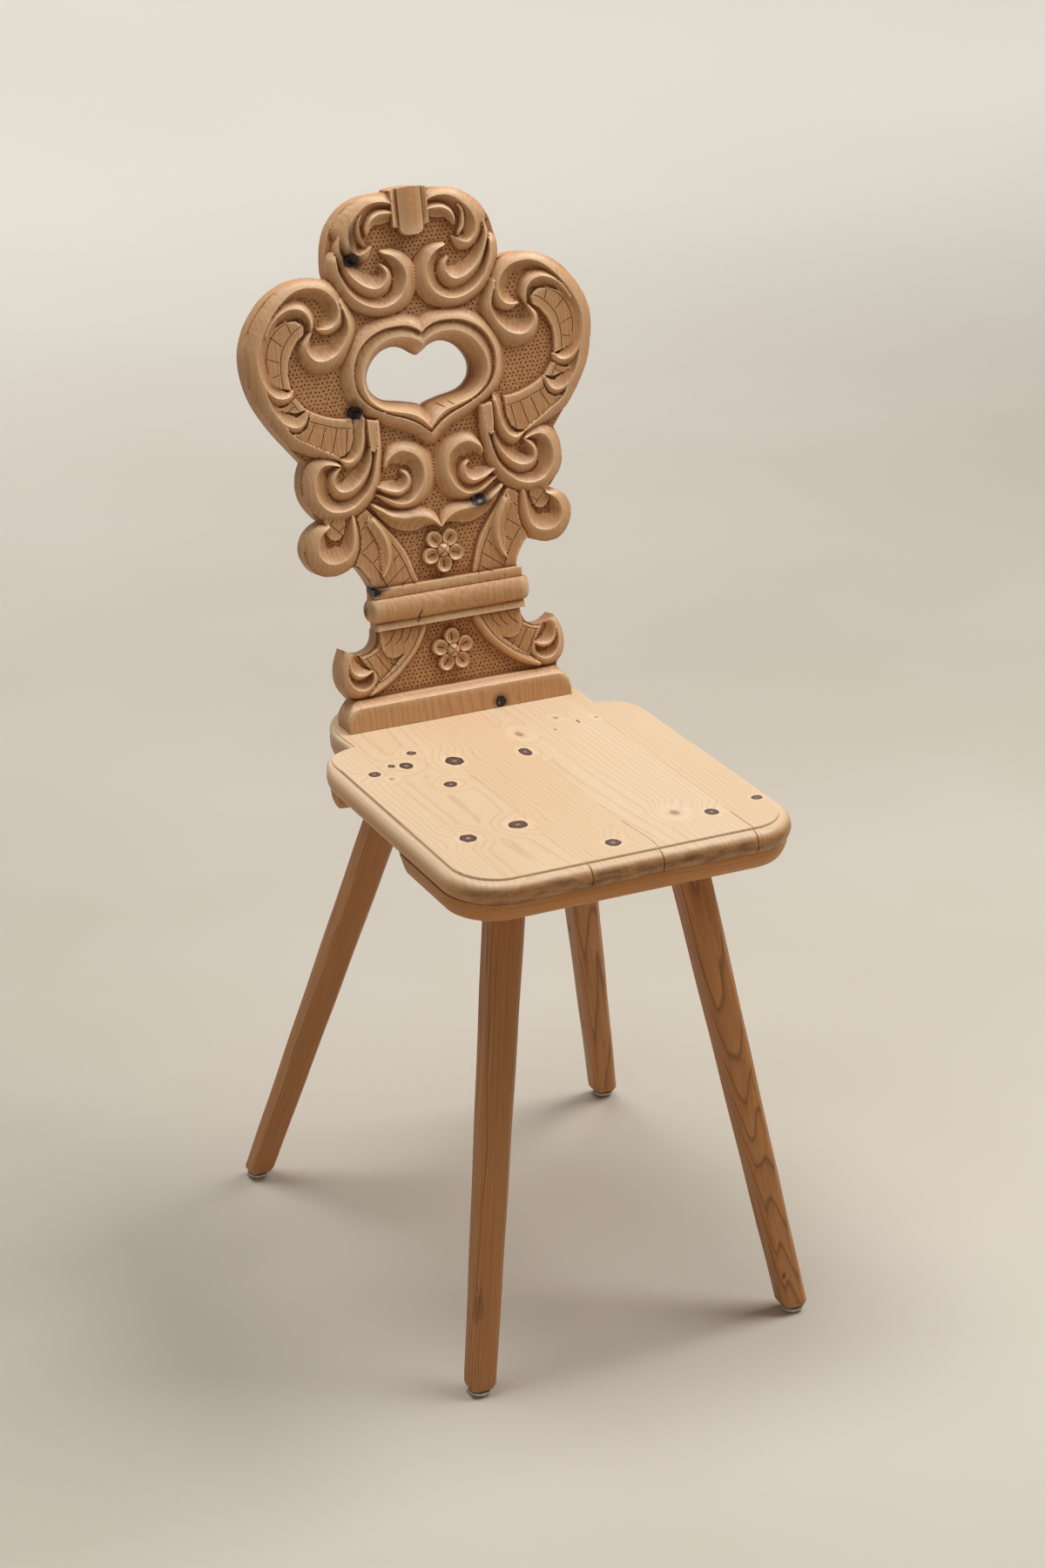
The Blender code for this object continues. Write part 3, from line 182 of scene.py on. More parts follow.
# Flat raised pieces: height, then the outline.
FLATS = [
    (6.9, [(48.8, 264), (49.5, 250), (51, 241), (54, 236), (57.5, 238.5), (58.6, 246), (59, 256),
          (58.5, 266)]),
    (4.7, [(104.5, 350), (106, 343), (112, 339), (118, 331), (122, 322), (123.3, 312), (122.5, 303),
          (121.8, 298.5), (129, 300.5), (138, 303.5), (144.5, 310), (146, 320), (146, 331), (142.5, 342),
          (134, 351.5), (122, 356.5), (112, 356.5), (107, 353)]),
    (4.6, [(110.5, 281), (115, 287), (119, 292), (123, 290.5), (127, 287.5), (131, 286), (138, 286),
          (143, 288), (137, 283), (127, 280.5), (121, 279), (115, 279.5)]),
    (4.9, [(70.5, 268.5), (78, 268.8), (86, 270.3), (95, 273.2), (103, 277), (109, 280.5), (109.5, 273),
          (113, 265.5), (119, 262), (127, 263), (124, 259.5), (111, 250.6), (98, 242.8), (87, 236),
          (80, 238), (75, 242), (71.5, 250), (70.5, 260)]),
    (4.0, [(24.5, 118), (27.5, 128), (31, 140), (35, 150), (40, 158), (46, 166), (50, 171), (58, 180),
          (66, 189.5), (73, 186), (76.5, 183), (75, 175), (74.5, 165), (76, 155), (80, 147), (82, 143),
          (78, 140.5), (75, 136), (70, 128), (67, 118)]),
    (3.6, [(86, 187), (86.5, 178), (89, 171), (93, 167), (98, 166.2), (102, 168.5), (105, 173),
          (105.5, 180), (106.5, 188)]),
    (5.6, [(29.5, 86), (31, 77), (35.5, 68.5), (42, 62), (50, 58.3), (57, 57), (62.5, 59.5), (66.2, 65),
          (67.5, 73), (66.5, 86)]),
    (3.7, [(28, 84), (32, 72), (40, 60), (50, 51), (60, 43.5), (74, 35), (77, 38), (76.5, 49.5), (80, 53),
          (85, 60), (88, 67), (84, 63.5), (77, 64.8), (70, 69), (66, 77), (64, 84)]),
]

# The heart as half outlines: edge of the opening at the back, lip, outer ridge.
HEART_HOLE = [(0, 312), (4, 314), (12, 319.3), (21, 321.7), (30, 320), (38, 315.2), (44, 308),
              (47.8, 299), (47, 290), (43.3, 284), (37, 279), (28, 276.3), (20, 275), (12, 273.2),
              (4, 271), (0, 268.5)]
HEART_LIP = [(0, 323), (4, 326.5), (12, 330), (22, 331.5), (33, 330), (43, 325), (50.5, 317.5),
             (56, 307.5), (58, 298), (56.8, 289), (51.5, 279.5), (41, 272), (28, 268), (16, 264.5),
             (8, 259.5), (2, 253.5), (0, 251)]
HEART_RIDGE = [(0, 333), (5, 337), (14, 340.5), (26, 341), (38, 339.2), (50, 333.5), (59, 325),
               (64.5, 314), (66.3, 304), (65, 292), (60, 282), (50, 273.2), (36, 266), (20, 259.6),
               (8, 252.5), (0, 245.5)]

# The right half of the board's outline, as runs that meet at its corners.
OUTLINE = [
    [(105.5, 4), (105.5, 11)], [(105.5, 11), (103.5, 17), (99, 22.5), (96, 25.5)],
    [(96, 25.5), (99, 29), (104, 37), (106, 45), (106, 52), (104.3, 60), (101.5, 66.5), (99.5, 71)],
    [(99.5, 71), (93, 66.8), (86, 64.8), (78, 66), (72, 70), (69, 76), (68, 83.5)],
    [(68, 83.5), (69.5, 83.5)], [(69.5, 83.5), (69.5, 90.5)],
    [(69.5, 90.5), (73.5, 92.3), (76.3, 97), (76.8, 101.3), (76.3, 105.6), (73.5, 110.3), (69.5, 112)],
    [(69.5, 112), (69.5, 119.5)], [(69.5, 119.5), (66.5, 119.5)],
    [(66.5, 119.5), (70.5, 128), (76, 137), (81.5, 142)],
    [(81.5, 142), (88, 139.5), (95, 137.2), (102.5, 136.3), (110.5, 137.5), (117.5, 142), (122.5, 149),
     (125.3, 157), (125, 165), (121.5, 173), (116, 178.5), (111, 181.5), (106.5, 183.5)],
    [(106.5, 183.5), (110, 187), (114.8, 193), (119.6, 201.5), (121.8, 211), (121.4, 220.5), (119.5, 228),
     (116.5, 235)],
    [(116.5, 235), (129.2, 251.2), (139.2, 264.5), (147.5, 277.8), (154.2, 291), (158.3, 304.5),
     (160.3, 316.5), (160.6, 325), (160, 333), (157.5, 343), (152.5, 354.5), (146, 364), (138.5, 372.5),
     (131, 378.7), (123.5, 383), (115, 386.6), (106, 388.6), (96, 389.2), (86, 388.2), (77.5, 386)],
    [(77.5, 386), (78.7, 392), (78.4, 399), (77.7, 406), (76.5, 413), (74.8, 419.5), (71.9, 426.5),
     (67.6, 433), (61.5, 439.6), (55, 444.6), (48, 448.2), (39.7, 450.8), (30, 452), (22, 452.3),
     (16.5, 452.3)],
    [(16.5, 452.3), (16.5, 454), (10.5, 455.1), (0, 455.9)],
]

# Flowers: v of the middle, and the turn of the first petal in degrees.
FLOWERS = ((144.3, -90.0), (56.0, 90.0))
PETAL_AT = 12.2
PETAL_HALF = (8.0, 7.5)
DOME_HALF = 6.4
# The moulded band: its edges, then the middle and half width of its round part.
BAND_LOW, BAND_HIGH = 83.5, 119.5
TORUS_V, TORUS_HALF = 101.2, 10.9
BASE_TOP = 26.5
HEART_FLOOR = -13.0
# Lower than any part of the relief.
NOTHING = -99


def spline(points, closed=False, steps=5):
    p = np.array(points, float)
    n = len(p)
    rows = []
    for i in range(n if closed else n - 1):
        if closed:
            a, b, c, d = p[(i - 1) % n], p[i], p[(i + 1) % n], p[(i + 2) % n]
        else:
            a, b, c, d = p[max(i - 1, 0)], p[i], p[i + 1], p[min(i + 2, n - 1)]
        for k in range(steps):
            t = k / steps
            rows.append(0.5 * (2 * b + (c - a) * t + (2 * a - 5 * b + 4 * c - d) * t * t
                               + (3 * b - a - 3 * c + d) * t ** 3))
    if not closed:
        rows.append(p[-1])
    return np.array(rows)


def mirror_loop(half):
    line = spline(half)
    return np.vstack([line, (line * [-1, 1])[-2:0:-1]])


def nearest(p, line):
    """Distance, side and the further columns at the nearest point of a line."""
    best = np.full(len(p), 1e9)
    side = np.zeros(len(p))
    more = np.zeros((len(p), line.shape[1] - 2))
    for a, b in zip(line[:-1], line[1:]):
        d = b[:2] - a[:2]
        l2 = d @ d
        if l2 == 0:
            continue
        r = p - a[:2]
        t = np.clip((r @ d) / l2, 0, 1)
        q = r - t[:, None] * d
        dist = np.hypot(q[:, 0], q[:, 1])
        m = dist < best
        best[m] = dist[m]
        side[m] = np.sign(d[0] * r[m, 1] - d[1] * r[m, 0])
        more[m] = a[2:] + t[m, None] * (b[2:] - a[2:])
    return best, side, more


def inside(p, loop):
    x, y = p[:, 0], p[:, 1]
    result = np.zeros(len(p), bool)
    a = loop[-1]
    for b in loop:
        if a[1] != b[1]:
            m = (a[1] > y) != (b[1] > y)
            result ^= m & (x < (b[0] - a[0]) * (y - a[1]) / (b[1] - a[1]) + a[0])
        a = b
    return result


def closed(loop):
    return np.vstack([loop, loop[:1]])


def smooth(t):
    t = np.clip(t, 0, 1)
    return t * t * (3 - 2 * t)


def relief(uv):
    """Height of the carved face above its ground, in millimetres."""
    p = np.array(uv, float)
    full_u = p[:, 0].copy()
    u = np.abs(full_u)
    v = p[:, 1]
    p = np.stack([u, v], 1)
    h = np.zeros(len(p))
    for height, outline in FLATS:
        o = np.array(outline, float)
        m = np.where((u > o[:, 0].min() - 1) & (u < o[:, 0].max() + 1) & (v > o[:, 1].min() - 1)
                     & (v < o[:, 1].max() + 1))[0]
        if len(m) == 0:
            continue
        q = p[m]
        inn = inside(q, o)
        d, _, _ = nearest(q, closed(o))
        h[m] = np.maximum(h[m], np.where(inn, height * smooth(0.3 + d / 1.4), 0))
    for side, out_floor, in_floor, points in STROKES:
        line = spline(points, steps=4)
        reach = line[:, 2:].max()
        lo, hi = line[:, :2].min(0) - reach, line[:, :2].max(0) + reach
        m = np.where((u > lo[0]) & (u < hi[0]) & (v > lo[1]) & (v < hi[1]))[0]
        if len(m) == 0:
            continue
        d, s, w = nearest(p[m], line)
        outer = s * side >= 0
        so = d / np.maximum(w[:, 0], 0.3)
        si = d / np.maximum(w[:, 1], 0.3)
        fall = RIDGE - (RIDGE - out_floor) * (0.3 * so + 0.7 * so * so)
        dip = in_floor + (RIDGE - in_floor) * np.clip(1 - si, 0, 1) ** 2
        value = np.where(outer, np.where(so <= 1, fall, NOTHING), np.where(si <= 1, dip, NOTHING))
        h[m] = np.maximum(h[m], value)
    # heart frame
    ridge, lip, hole = (mirror_loop(c) for c in (HEART_RIDGE, HEART_LIP, HEART_HOLE))
    m = np.where((u < 80) & (v > 232) & (v < 356))[0]
    q = p[m]
    in_ridge, in_lip, in_hole = (inside(q, c) for c in (ridge, lip, hole))
    dr = nearest(q, closed(ridge))[0]
    dl = nearest(q, closed(lip))[0]
    dh = nearest(q, closed(hole))[0]
    outside = np.where(dr < 9.6, RIDGE * (1 - (dr / 9.6) ** 1.6), NOTHING)
    t = dl / (dl + dr + 1e-9)
    groove = np.where(t < 0.8, 6.2 - 3.4 * (t / 0.8) ** 1.4, 2.8 + 4.2 * (t - 0.8) / 0.2)
    t = dh / (dh + dl + 1e-9)
    splay = HEART_FLOOR + 19.2 * t ** 0.75
    hm = np.where(in_hole, HEART_FLOOR, np.where(in_lip, splay, np.where(in_ridge, groove, outside)))
    h[m] = np.where(in_ridge, hm, np.maximum(h[m], hm))
    # moulded band
    m = (v >= BAND_LOW) & (v <= BAND_HIGH)
    torus = 6.4 + 6.2 * np.sqrt(np.clip(1 - ((v - TORUS_V) / TORUS_HALF) ** 2, 0, 1))
    end = 10 - np.sqrt(np.clip(100 - np.clip(u - 66.8, 0, 10) ** 2, 0, 100))
    prof = np.where(v > 112, 9.2, np.where(v < 90.5, 9.4 - 1.8 * smooth((v - 85) / 5.5), torus - end))
    h[m] = prof[m]
    # base block
    m = v < BASE_TOP
    corner = np.hypot(np.clip(u - 93, 0, 99), np.clip(v - 8, 0, 99))
    edge = np.minimum(BASE_TOP - v, np.where((u > 93) & (v > 8), 18.0 - corner, 99))
    h[m] = (3.0 + 7.4 * np.clip(edge / 6.0, 0, 1))[m]
    # keystone
    a = np.clip(v - 414.5 - 4.5 * (u / 10.5) ** 4, 0, 9)
    mid = (u < 10.5) & (a > 0)
    h[mid] = (smooth(0.2 + a / 1.5) * (10.2 - 2.2 * (u / 10.5) ** 2))[mid]
    b = v - 421 - 0.3 * (u - 10.5)
    flank = (u >= 10.5) & (u < 16.3) & (b > 0)
    h[flank] = (smooth(0.2 + b / 1.5) * (5.6 + 0.35 * (u - 10.5)))[flank]
    # flowers
    for centre, turn in FLOWERS:
        x, y = full_u, v - centre
        r = np.hypot(x, y)
        m = r < 21
        ang = np.degrees(np.arctan2(y, x))
        k = np.round((ang - turn) / 72.0)
        c = np.radians(turn + 72.0 * k)
        px = x * np.cos(c) + y * np.sin(c) - PETAL_AT
        py = -x * np.sin(c) + y * np.cos(c)
        e = np.hypot(px / PETAL_HALF[0], py / PETAL_HALF[1])
        dish = 5.8 - 2.8 * (1 - (e / 0.86) ** 2)
        petal = np.where(e > 0.86, 5.8 * smooth((1.01 - e) / 0.15), dish)
        dome = 2.6 + 5.6 * np.sqrt(np.clip(1 - (r / DOME_HALF) ** 2, 0, 1))
        h[m] = np.maximum(h, petal)[m]
        inner = r < DOME_HALF
        h[inner] = dome[inner]
    return h


# Knife cuts of the right half, as points on the board.
CUTS = [
    [(106, 352), (112, 356), (120, 355.5), (130, 350), (137, 342), (141, 332), (142, 325), (141, 315)],
    [(107, 351.5), (115, 347), (122, 340), (127, 332), (129, 324), (130, 315), (129.5, 303)],
    [(120.5, 355), (117.5, 346.5)], [(136, 345), (127, 337)], [(142, 328), (131, 323.5)],
    [(137.5, 311.7), (130.3, 313.3)], [(118, 281), (123, 289)], [(122, 285), (128, 281)],
    [(73, 260), (82, 261.5), (90, 263.5), (98, 266.5), (107, 270), (108.5, 271)],
    [(76.5, 259), (79.5, 240)], [(85.5, 261.5), (91.5, 242)], [(95.5, 265), (102, 247)],
    [(105, 268.5), (112.5, 255)],
    [(30, 119), (33, 127), (36, 136), (40, 145), (45, 154.5), (46, 156)],
    [(41.5, 147), (46.5, 141.5)], [(36, 136.5), (55, 122)], [(32.5, 125.5), (43, 119)],
    [(63, 162), (75, 153)], [(60, 147), (66, 142)], [(70.5, 174.5), (73.5, 172)],
    [(75, 153), (66, 142), (59, 129.5), (57, 125), (55, 120)], [(46, 171), (65, 190)],
    [(87.5, 178), (93, 174)], [(90, 170), (100, 180.5)], [(98, 184), (101, 181)],
    [(29, 82), (32, 74), (38, 64.5), (45, 56.7), (58.3, 45.8), (75, 37)],
    [(68.3, 65.8), (77, 62.5), (85.8, 60.8), (87, 68)], [(71.7, 63.3), (60.8, 45.8)],
    [(80.8, 61.7), (69.2, 40.8)], [(59, 54), (53, 50)],
    [(38, 82), (40, 76), (45, 70)], [(45, 82), (48, 75), (53, 70)], [(53, 82), (57, 75), (63, 70)],
]
# Two small nicks beside the heart, on the right half only.
NICKS = [[(11, 269.5), (15, 266.5)], [(20.5, 270.5), (23.5, 267.5)]]
# Cuts and punched dots in millimetres.
CUT_DEEP = 0.95
CUT_HALF = 0.5
DOT_DEEP = 1.2
DOT_CORE = 0.5
DOT_REACH = 0.95
DOT_PITCH = 4.0
# The half width of the band behind its moulding, and the depth where the moulding ends.
BAND_HALF = 66.3
BAND_DEEP = 9.0

# Knots of the back board in millimetres: u, v, half width, half height.
BACK_KNOTS = [(-57.3, 400, 8.0, 6.0), (-67.3, 272.3, 6.8, 6.0), (37.3, 182.7, 7.5, 5.5),
              (-70.5, 117.7, 7.5, 3.6), (37.3, 4.5, 5.2, 5.2)]
# Dark smears beside the knots: u, v, half width, half height, strength.
BACK_SMEARS = [(-55.5, 415, 3.2, 17, 0.72), (-64, 408, 4.0, 7, 0.35), (-50, 397, 5, 5, 0.5),
               (-62, 119.5, 9, 2.6, 0.7), (-74, 105, 4, 9, 0.38), (46, 180, 6, 3.4, 0.5),
               (-67, 281, 4, 5, 0.5), (-30.2, 91.5, 0.9, 5.5, 0.95), (-28.6, 95.5, 1.0, 2.6, 0.85),
               (-31.2, 87.5, 1.6, 1.2, 0.8)]
# Pale resin on the wood: u, v, half width, half height.
RESIN_SPOTS = [(-67, 264.5, 3.4, 2.4), (-62.5, 262.5, 1.8, 3.2), (38.2, 181.5, 1.8, 1.5),
               (33.8, 184.8, 1.6, 1.0), (-66.7, 107.5, 3.6, 2.2), (-69.5, 101.5, 1.6, 1.4),
               (-63.5, 104, 1.2, 1.0), (35.6, 3.4, 0.8, 1.2)]
# Knots of the seat in metres: x, y, half width, half length.
SEAT_KNOTS = [(-0.0758, 0.0557, 0.0042, 0.0045), (-0.1023, 0.0361, 0.0032, 0.0038),
              (-0.0908, 0.0311, 0.0056, 0.0074), (-0.1219, 0.0257, 0.0052, 0.0056),
              (-0.0505, 0.0222, 0.0075, 0.0095), (0.0112, 0.0130, 0.0050, 0.0088),
              (-0.0742, -0.0239, 0.0056, 0.0062), (-0.1077, -0.1351, 0.0070, 0.0078),
              (-0.0608, -0.1282, 0.0082, 0.0078), (-0.0092, -0.1970, 0.0064, 0.0072),
              (0.0892, -0.1774, 0.0056, 0.0066), (0.1358, -0.1678, 0.0048, 0.0046),
              (0.0815, 0.0565, 0.0010, 0.0040), (0.0558, 0.0480, 0.0012, 0.0014)]
# Fainter knots of the seat.
PALE_KNOTS = [(0.0235, 0.0522, 0.0050, 0.0092), (0.0619, -0.1651, 0.0062, 0.0080),
              (0.0680, 0.0730, 0.0036, 0.0040), (0.1000, 0.0580, 0.0022, 0.0036),
              (-0.1130, 0.0099, 0.0032, 0.0036)]
# Glue joints of the seat: x.
SEAT_JOINTS = (-0.1140, -0.0504, 0.0154, 0.1030)
# Open cracks of the seat, as points from its front edge towards the back.
SEAT_CRACKS = [[(0.0188, -0.2216), (0.0196, -0.2050), (0.0184, -0.1850), (0.0166, -0.1620)],
               [(0.1032, -0.2216), (0.1028, -0.2050), (0.1028, -0.1850)]]
# Where the seat's front edge is split: x.
EDGE_CRACKS = (-0.0438, 0.0188, 0.1032)
# Marks on the legs in metres: x, y, z, half width, half height, strength.
LEG_MARKS = [(0.1355, -0.2187, 0.0384, 0.0022, 0.0042, 0.9),
             (0.1148, 0.1548, 0.2156, 0.0022, 0.0040, 0.8),
             (0.1434, 0.1882, 0.0968, 0.0020, 0.0050, 0.85),
             (-0.1456, -0.2108, 0.0822, 0.0060, 0.0200, 0.35)]


def srgb(r, g, b):
    """A colour as seen on a screen, from 0 to 255, for a shader."""
    parts = [c / 255 for c in (r, g, b)]
    parts = [c / 12.92 if c <= 0.04045 else ((c + 0.055) / 1.055) ** 2.4 for c in parts]
    return (*parts, 1.0)


def board_point(u, v, depth):
    """A point of the leaning back board."""
    s, c = math.sin(BACK_TILT), math.cos(BACK_TILT)
    return (u * MM, BACK_Y + (v * s + depth * c) * MM, SEAT_TOP + (v * c - depth * s) * MM)


def board_foot(depth):
    """The v at which the board meets the seat, at a given depth."""
    return (GAP / MM + depth * math.sin(BACK_TILT)) / math.cos(BACK_TILT)


def ripple(p, length, seed):
    """Smooth noise of a few crossed waves, from -1 to 1, over points in the plane."""
    total = np.zeros(len(p))
    rng = np.random.default_rng(seed)
    for _ in range(7):
        angle = rng.uniform(0, math.pi)
        wave = 2 * math.pi / (length * rng.uniform(0.7, 1.5))
        shift = rng.uniform(0, 6.28)
        total += np.sin(wave * (p[:, 0] * math.cos(angle) + p[:, 1] * math.sin(angle)) + shift)
    return total / 4.5


def resample(line, spacing):
    """A line with points at even steps."""
    line = np.array(line, float)
    seg = np.hypot(*np.diff(line[:, :2], axis=0).T)
    at = np.concatenate([[0], np.cumsum(seg)])
    n = max(1, int(round(at[-1] / spacing)))
    t = np.linspace(0, at[-1], n + 1)
    return np.stack([np.interp(t, at, line[:, i]) for i in range(line.shape[1])], 1)


def beside(line, offset):
    """A line moved to its left by an offset for each point."""
    d = np.gradient(line[:, :2], axis=0)
    d /= np.hypot(d[:, 0], d[:, 1])[:, None] + 1e-9
    return line[:, :2] + np.stack([-d[:, 1], d[:, 0]], 1) * np.reshape(offset, (-1, 1))


def outline_loop(spacing):
    """The board's outline in even steps, counterclockwise from its lower right corner."""
    right = []
    for k, run in enumerate(OUTLINE):
        line = spline(run, steps=12) if len(run) > 2 else np.array(run, float)
        if k == 0:
            line[0, 1] = board_foot(-3.4)
        right.extend(resample(line, spacing)[:-1])
    right.append(np.array(OUTLINE[-1][-1], float))
    right = np.array(right)
    left = (right * [-1, 1])[::-1][1:]
    foot = resample([left[-1], right[0]], 3.0)[1:-1]
    return np.vstack([right, left, foot]), len(right) + len(left)


class Cloud:
    """Points of the carved face: u, v and how far each is sunk below the relief."""

    def __init__(self):
        self.rows = []
        self.cells = {}

    def add(self, points, sunk, apart, mirror=True):
        points = np.array(points, float)[:, :2]
        sides = (points, points * [-1, 1]) if mirror else (points,)
        for side in sides:
            for u, v in side.tolist():
                a, b = int(u // 1.5), int(v // 1.5)
                near = [q for i in (a - 1, a, a + 1) for j in (b - 1, b, b + 1)
                        for q in self.cells.get((i, j), ())]
                if all((u - x) ** 2 + (v - y) ** 2 >= apart * apart for x, y in near):
                    self.cells.setdefault((a, b), []).append((u, v))
                    self.rows.append((u, v, sunk))

    def groove(self, line, deep, half, mirror=True):
        """A cut along a line, with a shoulder on each side."""
        self.add(line, deep, 0.4, mirror)
        for side in (-half, half):
            self.add(beside(line, side), 0.0, 0.3, mirror)


class Picture:
    """The relief's heights on a fine raster of the board's right half, also blurred."""

    STEP = 0.65

    def __init__(self):
        self.us = np.arange(0, 163, self.STEP)
        self.vs = np.arange(-6, 460, self.STEP)
        u, v = np.meshgrid(self.us, self.vs)
        self.points = np.stack([u.ravel(), v.ravel()], 1)
        self.height = relief(self.points).reshape(u.shape)
        self.fine = self.blurred(self.height, 1.1)
        self.soft = self.blurred(self.height, 3.2)
        self.wide = self.blurred(self.height, 7.0)

    def blurred(self, values, radius):
        reach = int(3 * radius / self.STEP)
        k = np.exp(-0.5 * (np.arange(-reach, reach + 1) * self.STEP / radius) ** 2)
        k /= k.sum()
        padded = np.pad(values, ((reach, reach), (reach, reach)), mode="symmetric")
        rows = np.apply_along_axis(lambda r: np.convolve(r, k, "valid"), 1, padded)
        return np.apply_along_axis(lambda r: np.convolve(r, k, "valid"), 0, rows)

    def at(self, values, p):
        x = np.clip(np.abs(p[:, 0]) / self.STEP, 0, len(self.us) - 1.001)
        y = np.clip((p[:, 1] - self.vs[0]) / self.STEP, 0, len(self.vs) - 1.001)
        i, j = x.astype(int), y.astype(int)
        a, b = x - i, y - j
        return (values[j, i] * (1 - a) * (1 - b) + values[j, i + 1] * a * (1 - b)
                + values[j + 1, i] * (1 - a) * b + values[j + 1, i + 1] * a * b)


def stipple(picture, allowed):
    """Punch marks in uneven rows over the ground, kept clear of what is raised."""
    rng = np.random.default_rng(11)
    p = np.array([(u + DOT_PITCH * 0.5 * (row % 2), v)
                  for row, v in enumerate(np.arange(26, 452, DOT_PITCH * 0.87))
                  for u in np.arange(-158, 158, DOT_PITCH)])
    p += rng.uniform(-0.6, 0.6, p.shape)
    clear = np.ones(len(p), bool)
    for angle in np.arange(0, 2 * math.pi, math.pi / 4):
        q = p + 1.2 * np.array([math.cos(angle), math.sin(angle)])
        clear &= np.abs(picture.at(picture.height, q)) < 0.3
    return p[clear & allowed(p)]


def spoke(cloud, centre, degrees, half, start, stop):
    """A straight cut on a line through a flower's middle, with its shoulders."""
    way = np.array([math.cos(math.radians(degrees)), math.sin(math.radians(degrees))])
    for shift, sunk in ((-half, 0.0), (0.0, 1.0), (half, 0.0)):
        side = shift * np.array([-way[1], way[0]])
        cloud.add([(0, centre) + way * r + side for r in np.arange(start, stop, 0.9)], sunk, 0.3, False)


def flower_cuts(cloud):
    """A cut along the middle of each petal, and a cross on each dome."""
    for centre, turn in FLOWERS:
        for k in range(5):
            spoke(cloud, centre, turn + 72 * k, 0.7, 8.6, 15.5)
        for degrees in (45, 135):
            spoke(cloud, centre, degrees, 0.6, -5.4, 5.5)


def face_points(outline, hole, picture):
    """All points of the carved face, the border first."""
    cloud = Cloud()
    cloud.add(outline, 0.0, 0.0, False)
    cloud.add(hole, 0.0, 0.0, False)
    for cut in CUTS:
        cloud.groove(resample(spline(cut, steps=6), 0.95), CUT_DEEP, CUT_HALF)
    for cut in NICKS:
        cloud.groove(resample(cut, 0.9), 1.3, 0.6, False)
    flower_cuts(cloud)
    for *_, points in STROKES:
        cloud.add(resample(spline(points, steps=8)[:, :2], 1.05), 0.0, 0.62)
    for half in (HEART_RIDGE, HEART_LIP):
        cloud.add(resample(spline(half, steps=8), 1.05), 0.0, 0.62)
    border = closed(outline)

    def allowed(p):
        return inside(p, outline) & ~inside(p, hole)

    dots = stipple(picture, lambda p: allowed(p) & (nearest(p, border)[0] > 2.2))
    cloud.add(dots, DOT_DEEP, 0.9, False)
    for k in range(7):
        a = math.radians(360 / 7 * k)
        way = np.array([math.cos(a), math.sin(a)])
        cloud.add(dots + DOT_CORE * way, DOT_DEEP * 0.8, 0.2, False)
        cloud.add(dots + DOT_REACH * way, 0.0, 0.35, False)
    steps = ((83.2, 92, 0.55), (92, 111, 1.1), (111, 120.2, 0.55))
    for v in np.concatenate([np.arange(*step) for step in steps]):
        cloud.add([(u, v) for u in np.arange(0, 64, 3.2)], 0.0, 0.45)
        cloud.add([(u, v) for u in np.arange(64, 77, 0.9)], 0.0, 0.45)
    for v in np.arange(14, 27.5, 0.8):
        cloud.add([(u, v) for u in np.arange(0, 88, 3.2)], 0.0, 0.6)
    for centre, _ in FLOWERS:
        spots = [(u, v) for u in np.arange(0, 20, 0.75) for v in centre + np.arange(-19.5, 20, 0.75)]
        cloud.add([p for p in spots if math.hypot(p[0], p[1] - centre) < 19.5], 0.0, 0.55)

    # What is taken already keeps the grid away.
    cell = 0.25
    tall, wide = int(470 / cell), int(330 / cell)

    def spot(p, down=0, right=0):
        row = ((p[:, 1] + 8) / cell).astype(int) + down
        col = ((p[:, 0] + 165) / cell).astype(int) + right
        return np.clip(row, 0, tall - 1), np.clip(col, 0, wide - 1)

    taken = np.zeros((tall, wide), bool)
    rows = np.array(cloud.rows)
    reach = int(0.66 / cell)
    for a in range(-reach, reach + 1):
        for b in range(-reach, reach + 1):
            if a * a + b * b <= reach * reach:
                taken[spot(rows, a, b)] = True
    up, across = np.gradient(picture.height, picture.STEP)
    steep = np.hypot(up, across) > 1.25
    fine = picture.points[steep.ravel()]
    coarse = np.array([(u, v) for k, v in enumerate(np.arange(1.0, 456, 1.45))
                       for u in np.arange(0.4 + 0.8 * (k % 2), 161, 1.65)])
    plain = (coarse[:, 1] < 14) | ((coarse[:, 1] > 84) & (coarse[:, 1] < 119))
    rank = np.arange(len(coarse))
    coarse = coarse[~plain | (rank % 2 == 0)]
    coarse = coarse[picture.at(steep.astype(float), coarse) < 0.3]
    for half in (fine, coarse):
        for p in (half, half[half[:, 0] > 0.2] * [-1, 1]):
            p = p[~taken[spot(p)]]
            p = p[allowed(p)]
            cloud.rows.extend((u, v, 0.0) for u, v in p.tolist())
    return np.array(cloud.rows)


def new_object(name, data):
    made = bpy.data.objects.new(name, data)
    bpy.context.scene.collection.objects.link(made)
    return made


def mesh_object(name, points, faces, values=None):
    """An object from points and faces, with a value or a vector for each point."""
    mesh = bpy.data.meshes.new(name)
    mesh.from_pydata([tuple(p) for p in points], [], faces)
    bm = bmesh.new()
    bm.from_mesh(mesh)
    bmesh.ops.recalc_face_normals(bm, faces=bm.faces)
    bm.to_mesh(mesh)
    bm.free()
    for key, data in (values or {}).items():
        data = np.array(data, np.float32)
        kind, field = ("FLOAT_VECTOR", "vector") if data.ndim == 2 else ("FLOAT", "value")
        mesh.attributes.new(key, kind, "POINT").data.foreach_set(field, data.ravel())
    return new_object(name, mesh)


def smooth_shading(obj, degrees):
    obj.data.shade_smooth()
    obj.data.set_sharp_from_angle(angle=math.radians(degrees))


